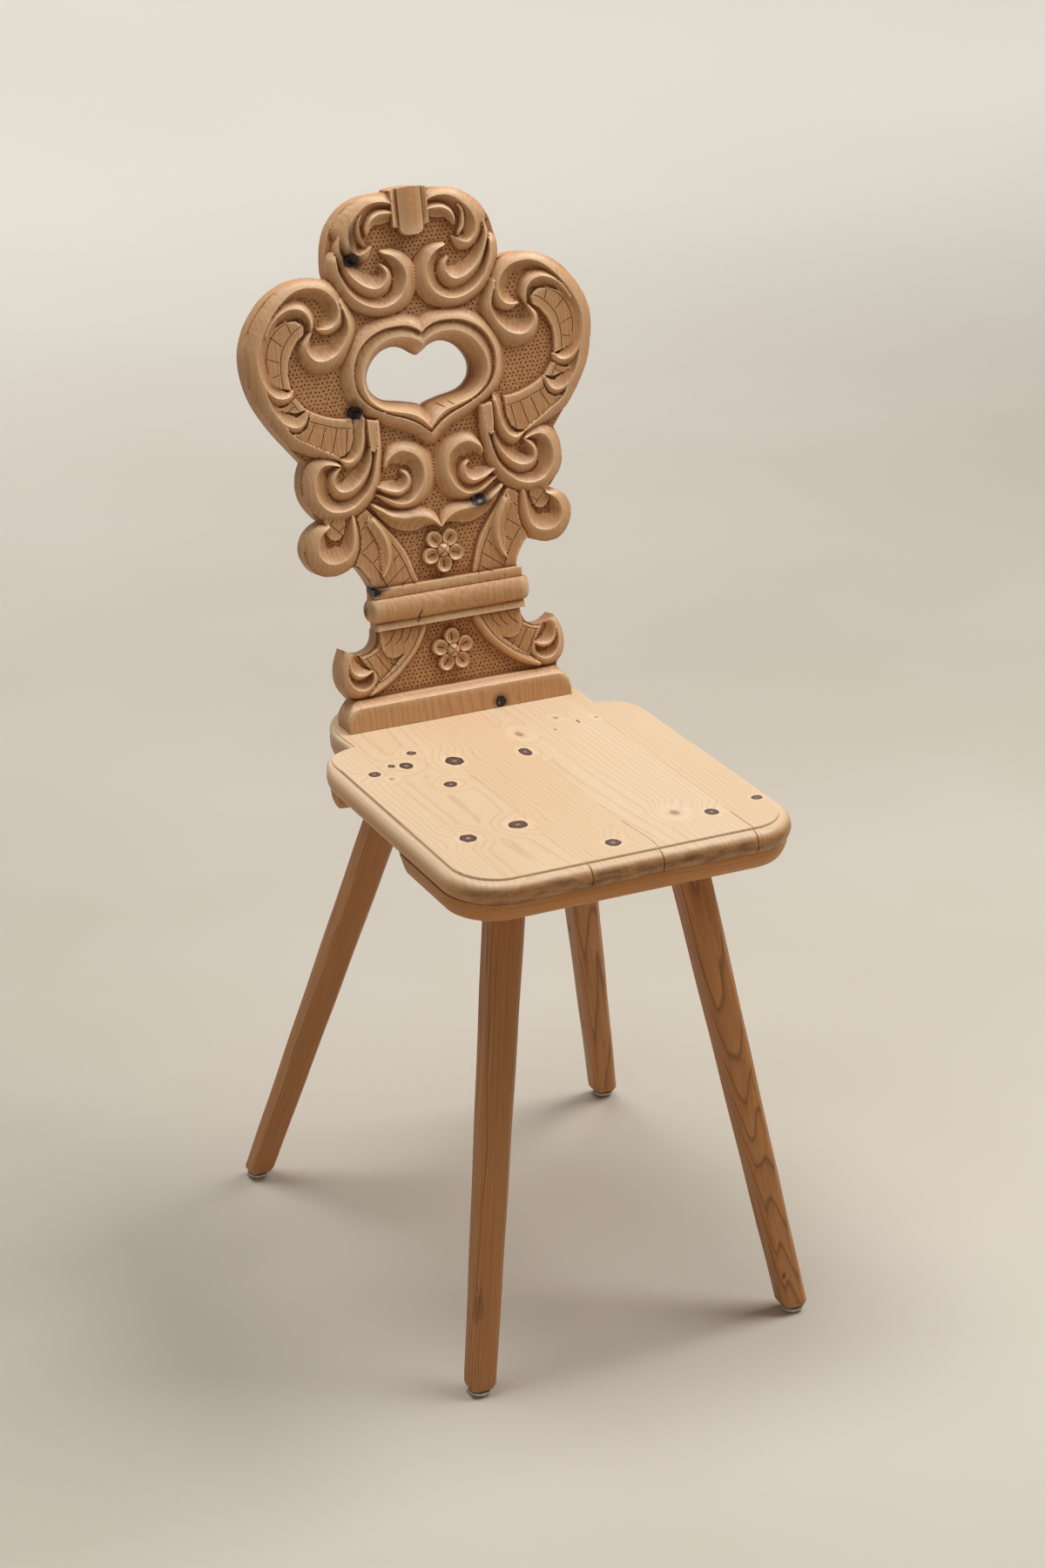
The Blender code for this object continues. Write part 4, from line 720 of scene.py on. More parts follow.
def carved_board():
    """The back board above the seat: carved face, rounded edges, the heart and a flat back."""
    outline, bend = outline_loop(1.35)
    hole = resample(closed(mirror_loop(HEART_HOLE)), 1.3)[:-1]
    picture = Picture()
    rows = face_points(outline, hole, picture)
    n, m = len(outline), len(hole)
    edges = [(i, (i + 1) % n) for i in range(n)] + [(n + i, n + (i + 1) % m) for i in range(m)]
    got = delaunay_2d_cdt([Vector(p) for p in rows[:, :2].tolist()], edges, [], 1, 1e-6)
    flat = np.array([tuple(p) for p in got[0]])
    source = np.array([olds[0] if olds else 0 for olds in got[3]])
    place = {old: new for new, olds in enumerate(got[3]) for old in olds}
    border = [place[i] for i in range(n + m)]
    heights = relief(flat)
    carved = heights + 0.13 * ripple(flat, 9.0, 5) + 0.05 * ripple(flat, 3.5, 6)
    # Ground, cut depth, hollow and arris drive painted shade and painted highlights in the board's
    # material.
    ground = (np.abs(heights) < 0.05).astype(float)
    sunk = rows[source, 2]
    depth = RIDGE - carved + sunk
    hollow = np.clip((picture.at(picture.soft, flat) - heights) / 3.2, -1, 1)
    hollow += 0.5 * np.clip((picture.at(picture.wide, flat) - heights) / 4.0, -1, 1)
    arris = np.clip((heights - picture.at(picture.fine, flat)) / 0.7, -1, 1)
    arris = np.where(arris > 0, arris * np.clip((heights - 2.2) / 1.5, 0, 1), arris)
    triangles = np.array(got[2])
    middles = flat[triangles].mean(axis=1)
    triangles = triangles[~inside(middles, hole)]

    points = [np.column_stack([flat, depth])]
    for i in range(bend - 1, n + 1):
        k = border[i % n]
        points[0][k, 1] = board_foot(points[0][k, 2])
    count = len(flat)
    faces = triangles.tolist()
    loop = np.vstack([outline, hole])
    torus = np.abs(loop[:, 0]) > BAND_HALF + 0.1
    torus &= (loop[:, 1] > BAND_LOW - 0.1) & (loop[:, 1] < BAND_HIGH + 0.1)
    slim = loop.copy()
    slim[torus, 0] = np.sign(loop[torus, 0]) * (BAND_HALF + 0.1 * (np.abs(loop[torus, 0]) - BAND_HALF))
    smoothed = beside(np.vstack([outline[-1:], outline, outline[:1]]), 0.9)[1:-1]
    inner = np.vstack([smoothed, hole])
    inner[torus[:n + m], 0] = slim[torus, 0] * 0.99
    first_depth = points[0][border, 2]
    levels = [(loop, np.maximum(first_depth + 0.3, BAND_DEEP)),
              (slim, np.maximum(first_depth + 0.6, BAND_DEEP + 1.5)),
              (slim, np.full(n + m, 23.6)), (slim * 0.35 + inner * 0.65, np.full(n + m, 24.7)),
              (inner, np.full(n + m, BACK_THICK))]
    rings = [border]
    foot = np.zeros(n + m, bool)
    foot[[i % n for i in range(bend - 1, n + 1)]] = True
    for line, deep in levels:
        ring = np.column_stack([line, deep])
        ring[foot, 1] = [board_foot(d) for d in ring[foot, 2]]
        points.append(ring)
        rings.append(list(range(count, count + n + m)))
        count += n + m
    for near, far in zip(rings[:-1], rings[1:]):
        faces += [(near[i], far[i], far[j], near[j]) for i, j in edges]
    spread = np.array([(u, v) for u in np.arange(-156, 157, 8.0) for v in np.arange(8, 452, 8.0)])
    spread = spread[inside(spread, inner[:n]) & ~inside(spread, hole)]
    spread = spread[nearest(spread, closed(inner[:n]))[0] > 3.0]
    spread = spread[nearest(spread, closed(hole))[0] > 3.0]
    plan = np.vstack([points[-1][:, :2], spread])
    got = delaunay_2d_cdt([Vector(p) for p in plan.tolist()], edges, [], 1, 1e-6)
    plan_now = np.array([tuple(p) for p in got[0]])
    place = {}
    extra = []
    for new, olds in enumerate(got[3]):
        known = [old for old in olds if old < n + m]
        if known:
            place[new] = rings[-1][known[0]]
        else:
            place[new] = count + len(extra)
            extra.append(new)
    sag = 0.12 * ripple(plan_now[extra], 60.0, 8)
    points.append(np.column_stack([plan_now[extra], BACK_THICK - np.clip(sag, 0, 1)]))
    middles = np.array([plan_now[list(tri)].mean(axis=0) for tri in got[2]])
    for tri, off in zip(got[2], inside(middles, hole)):
        if not off:
            faces.append([place[i] for i in tri])
    total = np.vstack(points)
    world = [board_point(u, v, d) for u, v, d in total.tolist()]
    rest = len(total) - len(flat)
    values = {"grain": total[:, [0, 2, 1]] * MM}
    for key, data in (("hollow", hollow), ("arris", arris), ("ground", ground), ("cut", sunk)):
        values[key] = np.concatenate([data, np.zeros(rest)])
    board = mesh_object("carved_board", world, faces, values)
    smooth_shading(board, 28)
    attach(board, "root")
    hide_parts("back_board")
    return board


def loft_faces(rings):
    faces = []
    for near, far in zip(rings[:-1], rings[1:]):
        n = len(near)
        faces += [(near[i], near[(i + 1) % n], far[(i + 1) % n], far[i]) for i in range(n)]
    return faces


def tenons():
    """The board's two tenons below the seat, each with the slot of its key."""
    points, faces = [], []
    slot_top = (BATTEN_UNDER - SEAT_TOP) / MM / math.cos(BACK_TILT) - 0.5
    slot_low = slot_top - KEY_TALL / MM - 2.5
    half = KEY_HALF / MM + 0.3
    middle = sum(TENON_U) / 2
    for sign in (-1, 1):
        bars = [(TENON_U[0], middle - half, TENON_END, 3), (middle + half, TENON_U[1], TENON_END, 3),
                (middle - half, middle + half, TENON_END, slot_low),
                (middle - half, middle + half, slot_top, 3)]
        for a, b, low, high in bars:
            ring = [(sign * a, TENON_DEPTH[0]), (sign * b, TENON_DEPTH[0]),
                    (sign * b, TENON_DEPTH[1]), (sign * a, TENON_DEPTH[1])]
            base = len(points)
            points += [(u, v, d) for v in (low, high) for u, d in ring]
            faces += [(base, base + 1, base + 2, base + 3), (base + 7, base + 6, base + 5, base + 4)]
            faces += loft_faces([[base + k for k in range(4)], [base + 4 + k for k in range(4)]])
    total = np.array(points, float)
    world = [board_point(*p) for p in total.tolist()]
    values = dict.fromkeys(("hollow", "arris", "ground", "cut"), np.zeros(len(total)))
    made = mesh_object("board_tenons", world, faces, {"grain": total[:, [0, 2, 1]] * MM, **values})
    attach(made, "root")
    return made


def seat_outline():
    """The seat from above, counterclockwise from the front centre, with columns at its cracks."""
    half = [(x, SEAT_FRONT) for x in np.arange(0, SEAT_HALF - 0.0465, 0.004)]
    rx, ry = 0.046, 0.052
    for k in range(25):
        a = math.radians(90 * k / 24)
        half.append((SEAT_HALF - rx + rx * math.sin(a), SEAT_FRONT + ry - ry * math.cos(a)))
    half += [(SEAT_HALF, y) for y in np.arange(-0.170, REAR_BATTEN_FRONT - 0.002, 0.010)]
    shoulder = [(SEAT_HALF, REAR_BATTEN_FRONT), (SEAT_HALF - 0.0008, 0.053), (SEAT_HALF - 0.004, 0.067),
                (SEAT_HALF - 0.010, 0.079), (SEAT_HALF - 0.018, 0.087), (SEAT_HALF - 0.027, 0.092),
                (0.1165, 0.0945)]
    tongue = [(0.1165, 0.0945), (0.1168, 0.101), (0.1178, 0.112), (0.1178, 0.126), (0.1152, 0.143),
              (0.1088, 0.159), (0.0985, 0.174), (0.0835, 0.188), (0.0630, 0.1985), (0.0350, 0.2055),
              (0.0, 0.2075)]
    half += [tuple(p) for p in resample(spline(shoulder, steps=6), 0.003)[:-1]]
    half += [tuple(p) for p in resample(spline(tongue, steps=6), 0.004)]
    loop = half + [(-x, y) for x, y in half[-2:0:-1]]
    for crack in EDGE_CRACKS:
        loop = [p for p in loop if not (p[1] < SEAT_FRONT + 1e-6 and abs(p[0] - crack) < 0.0016)]
        loop += [(crack + d, SEAT_FRONT) for d in (-0.0006, 0.0, 0.0006)]
    front = sorted([p for p in loop if p[1] < SEAT_FRONT + 1e-6])
    rest = [p for p in loop if p[1] >= SEAT_FRONT + 1e-6]
    return np.array(front + rest)


def inset(outline, amounts):
    """The outline moved inwards, by its own amount at each corner."""
    before = outline - np.roll(outline, 1, axis=0)
    after = np.roll(outline, -1, axis=0) - outline
    before /= np.hypot(*before.T)[:, None]
    after /= np.hypot(*after.T)[:, None]
    n1 = np.stack([-before[:, 1], before[:, 0]], 1)
    n2 = np.stack([-after[:, 1], after[:, 0]], 1)
    move = (n1 + n2) / (1 + (n1 * n2).sum(1))[:, None]
    return outline + move * np.reshape(amounts, (-1, 1))


# The seat's edge from below, in millimetres: how far inwards, and how far below the top.
SEAT_STEPS = [(3.8, 20.0), (2.3, 19.0), (1.2, 17.0), (0.4, 14.8), (0.0, 12.5), (0.1, 10.4), (0.5, 8.6),
              (1.3, 6.7), (2.4, 5.2), (3.7, 4.0), (5.2, 3.1), (6.8, 2.55), (8.2, 2.3), (9.5, 2.2),
              (9.75, 2.1), (9.9, 1.2), (10.0, 0.4), (10.3, 0.06), (11.0, 0.0)]


def seat():
    """The seat panel: its stepped edge in rings, then a top with cracks and knots."""
    outline = seat_outline()
    n = len(outline)
    plain = np.clip((outline[:, 1] - 0.045) / 0.035, 0, 1)
    front = outline[:, 1] < SEAT_FRONT + 1e-6
    split = np.zeros(n)
    for crack in EDGE_CRACKS:
        split[front & (np.abs(outline[:, 0] - crack) < 1e-6)] = 1.0
    share = 1 - 0.62 * plain
    points, rings = [], []
    for inward, down in SEAT_STEPS:
        loop = inset(outline, MM * inward * share)
        lower = np.where(down > 9.0, down, down * share) * MM
        loop[:, 1] += 0.0010 * split * (down > 2.5)
        top = SEAT_TOP - lower - 0.0009 * split * (down <= 8.0)
        rings.append(list(range(len(points), len(points) + n)))
        points += [(x, y, z) for (x, y), z in zip(loop, top)]
    rim = np.array([points[k][:2] for k in rings[-1]])
    cloud = Cloud()
    for line in SEAT_CRACKS:
        cloud.groove(resample(spline(line, steps=6), 0.0012) / MM, 1.1, 0.45, False)
    turn = np.arange(0, 2 * math.pi, 0.35)
    for x, y, a, b in SEAT_KNOTS + PALE_KNOTS:
        for scale, deep in ((0.45, 0.10), (0.8, 0.16), (1.0, 0.12), (1.2, 0.0)):
            ring = np.stack([x + a * scale * np.cos(turn), y + b * scale * np.sin(turn)], 1) / MM
            cloud.add(ring, deep, 0.6, False)
    grid = [(x, y) for x in np.arange(-150, 151, 3.0) for y in np.arange(-230, 206, 4.0)]
    cloud.add(grid, 0.0, 1.6, False)
    rows = np.array(cloud.rows)
    spots = rows[:, :2] * MM
    keep = inside(spots, rim)
    keep &= nearest(spots, closed(rim))[0] > 0.0009
    rows, spots = rows[keep], spots[keep]
    plan = np.vstack([rim, spots])
    sunk = np.concatenate([np.zeros(n), rows[:, 2]])
    edges = [(i, (i + 1) % n) for i in range(n)]
    got = delaunay_2d_cdt([Vector(p) for p in plan.tolist()], edges, [], 1, 1e-8)
    place, extra, count = {}, [], len(points)
    for new, olds in enumerate(got[3]):
        known = [old for old in olds if old < n]
        if known:
            place[new] = rings[-1][known[0]]
        else:
            place[new] = count + len(extra)
            extra.append(olds[0])
    flat = plan[extra]
    wave = 0.07 * ripple(flat / MM, 70.0, 3)
    away = np.clip(nearest(flat, closed(rim))[0] / 0.010, 0, 1)
    top = SEAT_TOP - MM * (sunk[extra] + (0.10 - np.clip(wave, -0.1, 0.1)) * away)
    points += [(x, y, z) for (x, y), z in zip(flat, top)]
    faces = loft_faces(rings) + [tuple(rings[0][::-1])]
    faces += [[place[i] for i in tri] for tri in got[2]]
    total = np.array(points)
    depth = np.concatenate([np.zeros(count), sunk[extra]])
    ends = np.zeros(len(total))
    ring_end = np.abs(np.gradient(outline[:, 0])) / np.hypot(*np.gradient(outline, axis=0).T)
    for (inward, down), ring in zip(SEAT_STEPS, rings):
        ends[ring] = ring_end * np.clip((down - 2.0) / 6.0, 0, 1) * (outline[:, 1] < 0)
    # The splits of the front edge get the painted shade of the cracks.
    for ring in rings[:-6]:
        depth[ring] = split
    grain = total[:, [0, 2, 1]] - [0, SEAT_TOP, 0]
    made = mesh_object("seat", total, faces, {"grain": grain, "endwood": ends, "cut": depth})
    smooth_shading(made, 42)
    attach(made, "root")
    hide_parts("seat_board")
    return made


def batten(name, node, cut, way, side):
    """A batten that follows the seat's outline on one side of a straight cut, rounded off below."""
    outline = seat_outline()
    outline = outline[(outline[:, 1] - cut) * way > 0.0155]
    start = int(np.argmax(np.hypot(*(outline - np.roll(outline, 1, axis=0)).T)))
    outline = np.roll(outline, -start, axis=0)
    ends = [(math.copysign(SEAT_HALF, outline[k, 0]), cut) for k in (0, -1)]
    outline = np.vstack([ends[:1], outline, ends[1:]])
    close = [k for k in range(len(outline)) if k == 0 or np.hypot(*(outline[k] - outline[k - 1])) > 0.0011]
    outline = outline[close]
    run = np.roll(outline, -1, axis=0) - np.roll(outline, 1, axis=0)
    front = np.abs(run[:, 0]) / np.hypot(*run.T)
    profile = spline([(15.0, 18.0), (11.2, 15.6), (7.6, 11.0), (5.0, 5.5), (4.2, 0.0)], steps=4)
    points, rings = [], []
    for inward, down in profile:
        amounts = MM * (4.2 * (0.45 + 0.55 * front) + (inward - 4.2) * (0.6 + 0.4 * front))
        loop = inset(outline, amounts)
        rings.append(list(range(len(points), len(points) + len(loop))))
        points += [(x, y, BATTEN_TOP - MM * down) for x, y in loop]
    faces = loft_faces(rings) + [tuple(rings[0][::-1]), tuple(rings[-1])]
    total = np.array(points)
    grain = np.stack([total[:, 1] + side, total[:, 2] - 0.3, total[:, 0]], 1)
    ends = np.tile(1 - front, len(profile))
    made = mesh_object(name, total, faces, {"grain": grain, "endwood": ends * 0.5})
    smooth_shading(made, 32)
    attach(made, "root")
    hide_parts(node)
    return made


def leg_ring(side):
    """Corners of a chamfered square with each arris eased."""
    h = side / 2
    k = h - LEG_CHAMFER * side / LEG_TOP_SIDE
    corners = [(-k, -h), (k, -h), (h, -k), (h, k), (k, h), (-k, h), (-h, k), (-h, -k)]
    ring = []
    ease = 0.0006
    for i in range(8):
        here, before, after = (np.array(corners[(i + d) % 8]) for d in (0, -1, 1))
        for other in (before, after):
            way = (other - here) / np.hypot(*(other - here))
            ring.append(here + way * ease)
        ring.insert(-1, here + ((before - here) / np.hypot(*(before - here))
                                + (after - here) / np.hypot(*(after - here))) * ease * 0.28)
    return np.array(ring)


def leg_grain(x, y, z, seed):
    """Straight fine grain in the left legs, long arches in the right ones."""
    if seed % 2:
        return (2.0 * x + 0.31 * seed, 2.0 * y + 0.17 * seed, z + 0.9 * seed)
    swing = 0.004 * math.sin(9.0 * z + seed)
    return (x + 0.021 + swing, y + 0.001 - 0.055 * z, z + 0.9 * seed)


def leg(name, foot, top, seed):
    """A tapered, splayed leg that is a chamfered square at every level."""
    points, rings, grain = [], [], []
    levels = [(0.0, -0.0086), (0.0008, -0.0060), (0.0020, -0.0034), (0.0036, -0.0012), (0.0055, 0.0)]
    length = BATTEN_UNDER - GAP - LEG_UNDER
    levels += [(t, 0.0) for t in np.linspace(0.012, length, 40)]
    for rise, less in levels:
        z = LEG_UNDER + rise
        t = rise / (SEAT_UNDER - LEG_UNDER)
        centre = np.array(foot) + (np.array(top) - np.array(foot)) * t
        side = LEG_FOOT_SIDE + (LEG_TOP_SIDE - LEG_FOOT_SIDE) * rise / length
        ring = leg_ring(side + less)
        dent = 0.00012 * np.sin(z * 61 + seed * 2.1 + ring[:, 0] * 140) * (rise > 0.01)
        ring = ring * (1 + dent / (side / 2))[:, None]
        rings.append(list(range(len(points), len(points) + len(ring))))
        points += [(centre[0] + x, centre[1] + y, z) for x, y in ring]
        grain += [leg_grain(x, y, z, seed) for x, y in ring]
    faces = loft_faces(rings) + [tuple(rings[0][::-1]), tuple(rings[-1])]
    ends = np.zeros(len(points))
    for ring in rings[:2]:
        ends[ring] = 1.0
    made = mesh_object(name, points, faces, {"grain": grain, "endwood": ends})
    smooth_shading(made, 24)
    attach(made, "root")
    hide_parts("leg_" + name.removesuffix("_leg"))
    return made


class Graph:
    """Builds the nodes of one material with short calls."""

    def __init__(self, name, rough):
        self.material = bpy.data.materials.new(name)
        self.material.use_nodes = True
        self.tree = self.material.node_tree
        self.shader = self.tree.nodes["Principled BSDF"]
        self.shader.inputs["Roughness"].default_value = rough
        self.base = None

    def link(self, value, socket):
        if isinstance(value, bpy.types.NodeSocket):
            self.tree.links.new(value, socket)
        else:
            socket.default_value = value

    def node(self, kind, inputs, output=0, **settings):
        made = self.tree.nodes.new(kind)
        for key, value in settings.items():
            setattr(made, key, value)
        for key, value in inputs.items():
            self.link(value, made.inputs[key])
        return made.outputs[output]

    def math(self, operation, a, b=0.0):
        return self.node("ShaderNodeMath", {0: a, 1: b}, operation=operation)

    def times(self, a, b):
        return self.math("MULTIPLY", a, b)

    def plus(self, a, b):
        return self.math("ADD", a, b)

    def minus(self, a, b):
        return self.math("SUBTRACT", a, b)

    def vector(self, operation, a, b=(0.0, 0.0, 0.0), output=0):
        return self.node("ShaderNodeVectorMath", {0: a, 1: b}, output, operation=operation)

    def place(self):
        """Where a point is on its object."""
        return self.node("ShaderNodeTexCoord", {}, "Object")

    def axis(self, vector, number):
        """One of the three coordinates of a vector."""
        return self.node("ShaderNodeSeparateXYZ", {0: vector}, number)

    def attribute(self, name, output="Fac"):
        made = self.tree.nodes.new("ShaderNodeAttribute")
        made.attribute_name = name
        return made.outputs[output]

    def noise(self, vector, stretch, detail=2.0, rough=0.5, distortion=0.0):
        at = self.vector("MULTIPLY", vector, stretch)
        return self.node("ShaderNodeTexNoise", {"Vector": at, "Scale": 1.0, "Detail": detail,
                                                "Roughness": rough, "Distortion": distortion})

    def ease(self, value, low, high, to_low=0.0, to_high=1.0):
        return self.node("ShaderNodeMapRange", {"Value": value, "From Min": low, "From Max": high,
                                                "To Min": to_low, "To Max": to_high},
                         interpolation_type="SMOOTHSTEP")

    def mix(self, share, a, b):
        return self.node("ShaderNodeMix", {0: share, 6: a, 7: b}, 2, data_type="RGBA")

    def coat(self, share, r, g, b):
        """Lays a colour over what was painted before."""
        self.base = self.mix(share, self.base, srgb(r, g, b))

    def ramp(self, share, stops):
        made = self.tree.nodes.new("ShaderNodeValToRGB")
        ramp = made.color_ramp
        for k, (at, colour) in enumerate(stops):
            stop = ramp.elements[k] if k < 2 else ramp.elements.new(at)
            stop.position = at
            stop.color = colour if isinstance(colour, tuple) else (colour, colour, colour, 1.0)
        self.link(share, made.inputs["Fac"])
        return made.outputs["Color"]

    def finish(self, height, strength, rough=None):
        self.link(self.base, self.shader.inputs["Base Color"])
        bump = self.node("ShaderNodeBump", {"Height": height, "Strength": strength, "Distance": 0.001})
        self.link(bump, self.shader.inputs["Normal"])
        if rough is not None:
            self.link(rough, self.shader.inputs["Roughness"])
        return self.material


def knot_field(graph, grain, knots, wobble):
    """How far a point is from the nearest knot, 1 at a knot's rim."""
    best = None
    for x, z, a, b in knots:
        off = graph.vector("SUBTRACT", grain, (x, 0.0, z))
        off = graph.vector("MULTIPLY", off, (1 / a, 0.0, 1 / b))
        far = graph.vector("LENGTH", off, output="Value")
        best = far if best is None else graph.math("MINIMUM", best, far)
    return graph.plus(best, wobble)


def stains(graph, grain, spots, wobble, outer, inner):
    """How much the strongest of several spots covers a point: u, v, half sizes, strength."""
    best = None
    for u, v, half_u, half_v, strength in spots:
        off = graph.vector("SUBTRACT", grain, (u * MM, 0.0, v * MM))
        off = graph.vector("MULTIPLY", off, (1000 / half_u, 0.0, 1000 / half_v))
        near = graph.plus(graph.vector("LENGTH", off, output="Value"), wobble)
        spot = graph.ease(near, outer, inner, 0.0, strength)
        best = spot if best is None else graph.math("MAXIMUM", best, spot)
    return best


def growth_rings(graph, grain, pith, pitch, push, wander=0.020):
    """A saw wave of the growth rings round a pith line along z: 0 early wood, 1 late wood."""
    slow = graph.noise(grain, (10.0, 10.0, 1.7), 3.0)
    bend = graph.times(graph.minus(slow, 0.5), wander)
    flat = graph.vector("MULTIPLY", graph.vector("SUBTRACT", grain, pith), (1.0, 1.0, 0.02))
    radius = graph.plus(graph.vector("LENGTH", flat, output="Value"), bend)
    radius = graph.plus(radius, push)
    uneven = graph.noise(grain, (60.0, 60.0, 1.2), 1.0)
    radius = graph.plus(radius, graph.times(uneven, 0.004))
    phase = graph.math("FRACT", graph.math("DIVIDE", radius, pitch))
    darkness = [(0.0, 0.08), (1.0, 0.08), (0.50, 0.14), (0.76, 0.40), (0.89, 1.0), (0.96, 0.5)]
    return graph.ramp(phase, darkness)


def strip_grain(graph, grain, joints, offsets):
    """Grain coordinates that jump at each glue joint, and a number for the strip."""
    x = graph.axis(grain, 0)
    shift = None
    number = 0.0
    for joint, offset in zip(joints, offsets):
        past = graph.math("GREATER_THAN", x, joint)
        move = graph.vector("MULTIPLY", (offset[0], offset[1], offset[2]),
                            graph.node("ShaderNodeCombineXYZ", {0: past, 1: past, 2: past}))
        shift = move if shift is None else graph.vector("ADD", shift, move)
        number = graph.plus(number, past)
    return graph.vector("ADD", grain, shift), number


def fibres(graph, grain):
    """Fine fibres, broader streaks and short resin lines along the grain."""
    fine = graph.noise(grain, (1500.0, 1500.0, 30.0), 2.0)
    streak = graph.noise(grain, (320.0, 320.0, 9.0), 2.0)
    resin = graph.ease(graph.noise(grain, (700.0, 700.0, 34.0), 1.0), 0.66, 0.76)
    return fine, streak, resin


def carved_material():
    """Tan wood with knots, smears and resin; painted shade, partly stain, in the hollows, on the sunk
    ground and in the cuts, painted shade in the creases, and painted highlights, partly wear, on raised
    parts and edges.
    """
    graph = Graph("carved_pine", 0.52)
    grain = graph.attribute("grain", "Vector")
    hollow = graph.attribute("hollow")
    arris = graph.attribute("arris")
    ground = graph.attribute("ground")
    cut = graph.attribute("cut")
    split, number = strip_grain(graph, grain, (-0.004,), ((0.043, 0.012, 0.31),))
    wobble = graph.minus(graph.noise(grain, (420.0, 420.0, 420.0), 4.0, 0.65), 0.5)
    wobble = graph.times(wobble, 0.75)
    knots = [(u * MM, v * MM, a * MM, b * MM) for u, v, a, b in BACK_KNOTS]
    far = knot_field(graph, grain, knots, wobble)
    push = graph.times(graph.ease(far, 3.6, 1.0), 0.006)
    rings = growth_rings(graph, split, (0.02, 0.085, 0.0), 0.0033, push)
    fine, streak, resin = fibres(graph, split)
    tone = graph.noise(split, (14.0, 14.0, 4.0), 2.0)
    graph.base = graph.mix(tone, srgb(196, 146, 98), srgb(214, 169, 122))
    graph.coat(graph.times(rings, 0.46), 156, 98, 50)
    graph.coat(graph.times(number, 0.24), 186, 128, 76)
    graph.coat(graph.ease(streak, 0.35, 0.72, 0.0, 0.28), 168, 110, 60)
    graph.coat(graph.times(resin, 0.35), 124, 72, 36)
    # Painted highlight: parts raised above their surroundings are lighter, partly as wear.
    graph.coat(graph.ease(hollow, 0.0, -0.75, 0.0, 0.42), 234, 202, 164)
    # Painted highlight along the arrises, partly as wear.
    graph.coat(graph.ease(arris, 0.2, 0.9, 0.0, 0.45), 238, 204, 160)
    # Painted shade: darker in the hollows, partly as stain.
    graph.coat(graph.ease(hollow, 0.05, 0.9, 0.0, 0.50), 136, 78, 36)
    # Painted shade in the creases at the foot of the walls.
    graph.coat(graph.ease(arris, -0.15, -0.8, 0.0, 0.55), 104, 56, 24)
    # Painted shade on the sunk ground, partly as stain.
    graph.coat(graph.times(ground, 0.35), 186, 128, 74)
    # Painted shade in the knife cuts and punched dots, partly as stain.
    graph.coat(graph.ease(cut, 0.15, 0.85, 0.0, 0.92), 58, 30, 14)
    smear = stains(graph, grain, BACK_SMEARS, graph.times(wobble, 1.6), 1.25, 0.35)
    graph.coat(smear, 44, 26, 18)
    graph.coat(graph.ease(far, 2.0, 1.0, 0.0, 0.55), 104, 58, 28)
    shade = graph.noise(grain, (700.0, 700.0, 700.0), 3.0)
    core = graph.mix(graph.ease(shade, 0.45, 0.7), srgb(24, 14, 9), srgb(66, 42, 28))
    graph.base = graph.mix(graph.ease(far, 1.10, 0.88), graph.base, core)
    resin_spots = [(*spot, 0.5) for spot in RESIN_SPOTS]
    milk = stains(graph, grain, resin_spots, graph.times(wobble, 1.8), 1.1, 0.7)
    graph.coat(milk, 182, 166, 146)
    height = graph.plus(graph.times(fine, 0.10), graph.times(streak, 0.16))
    tool = graph.noise(grain, (190.0, 190.0, 120.0), 2.0)
    height = graph.plus(height, graph.times(tool, 0.30))
    rough_ground = graph.noise(grain, (620.0, 620.0, 620.0), 3.0)
    height = graph.plus(height, graph.times(rough_ground, graph.times(ground, 0.5)))
    rough = graph.ease(graph.plus(streak, graph.times(hollow, 0.4)), 0.2, 0.9, 0.42, 0.68)
    return graph.finish(height, 0.6, rough)


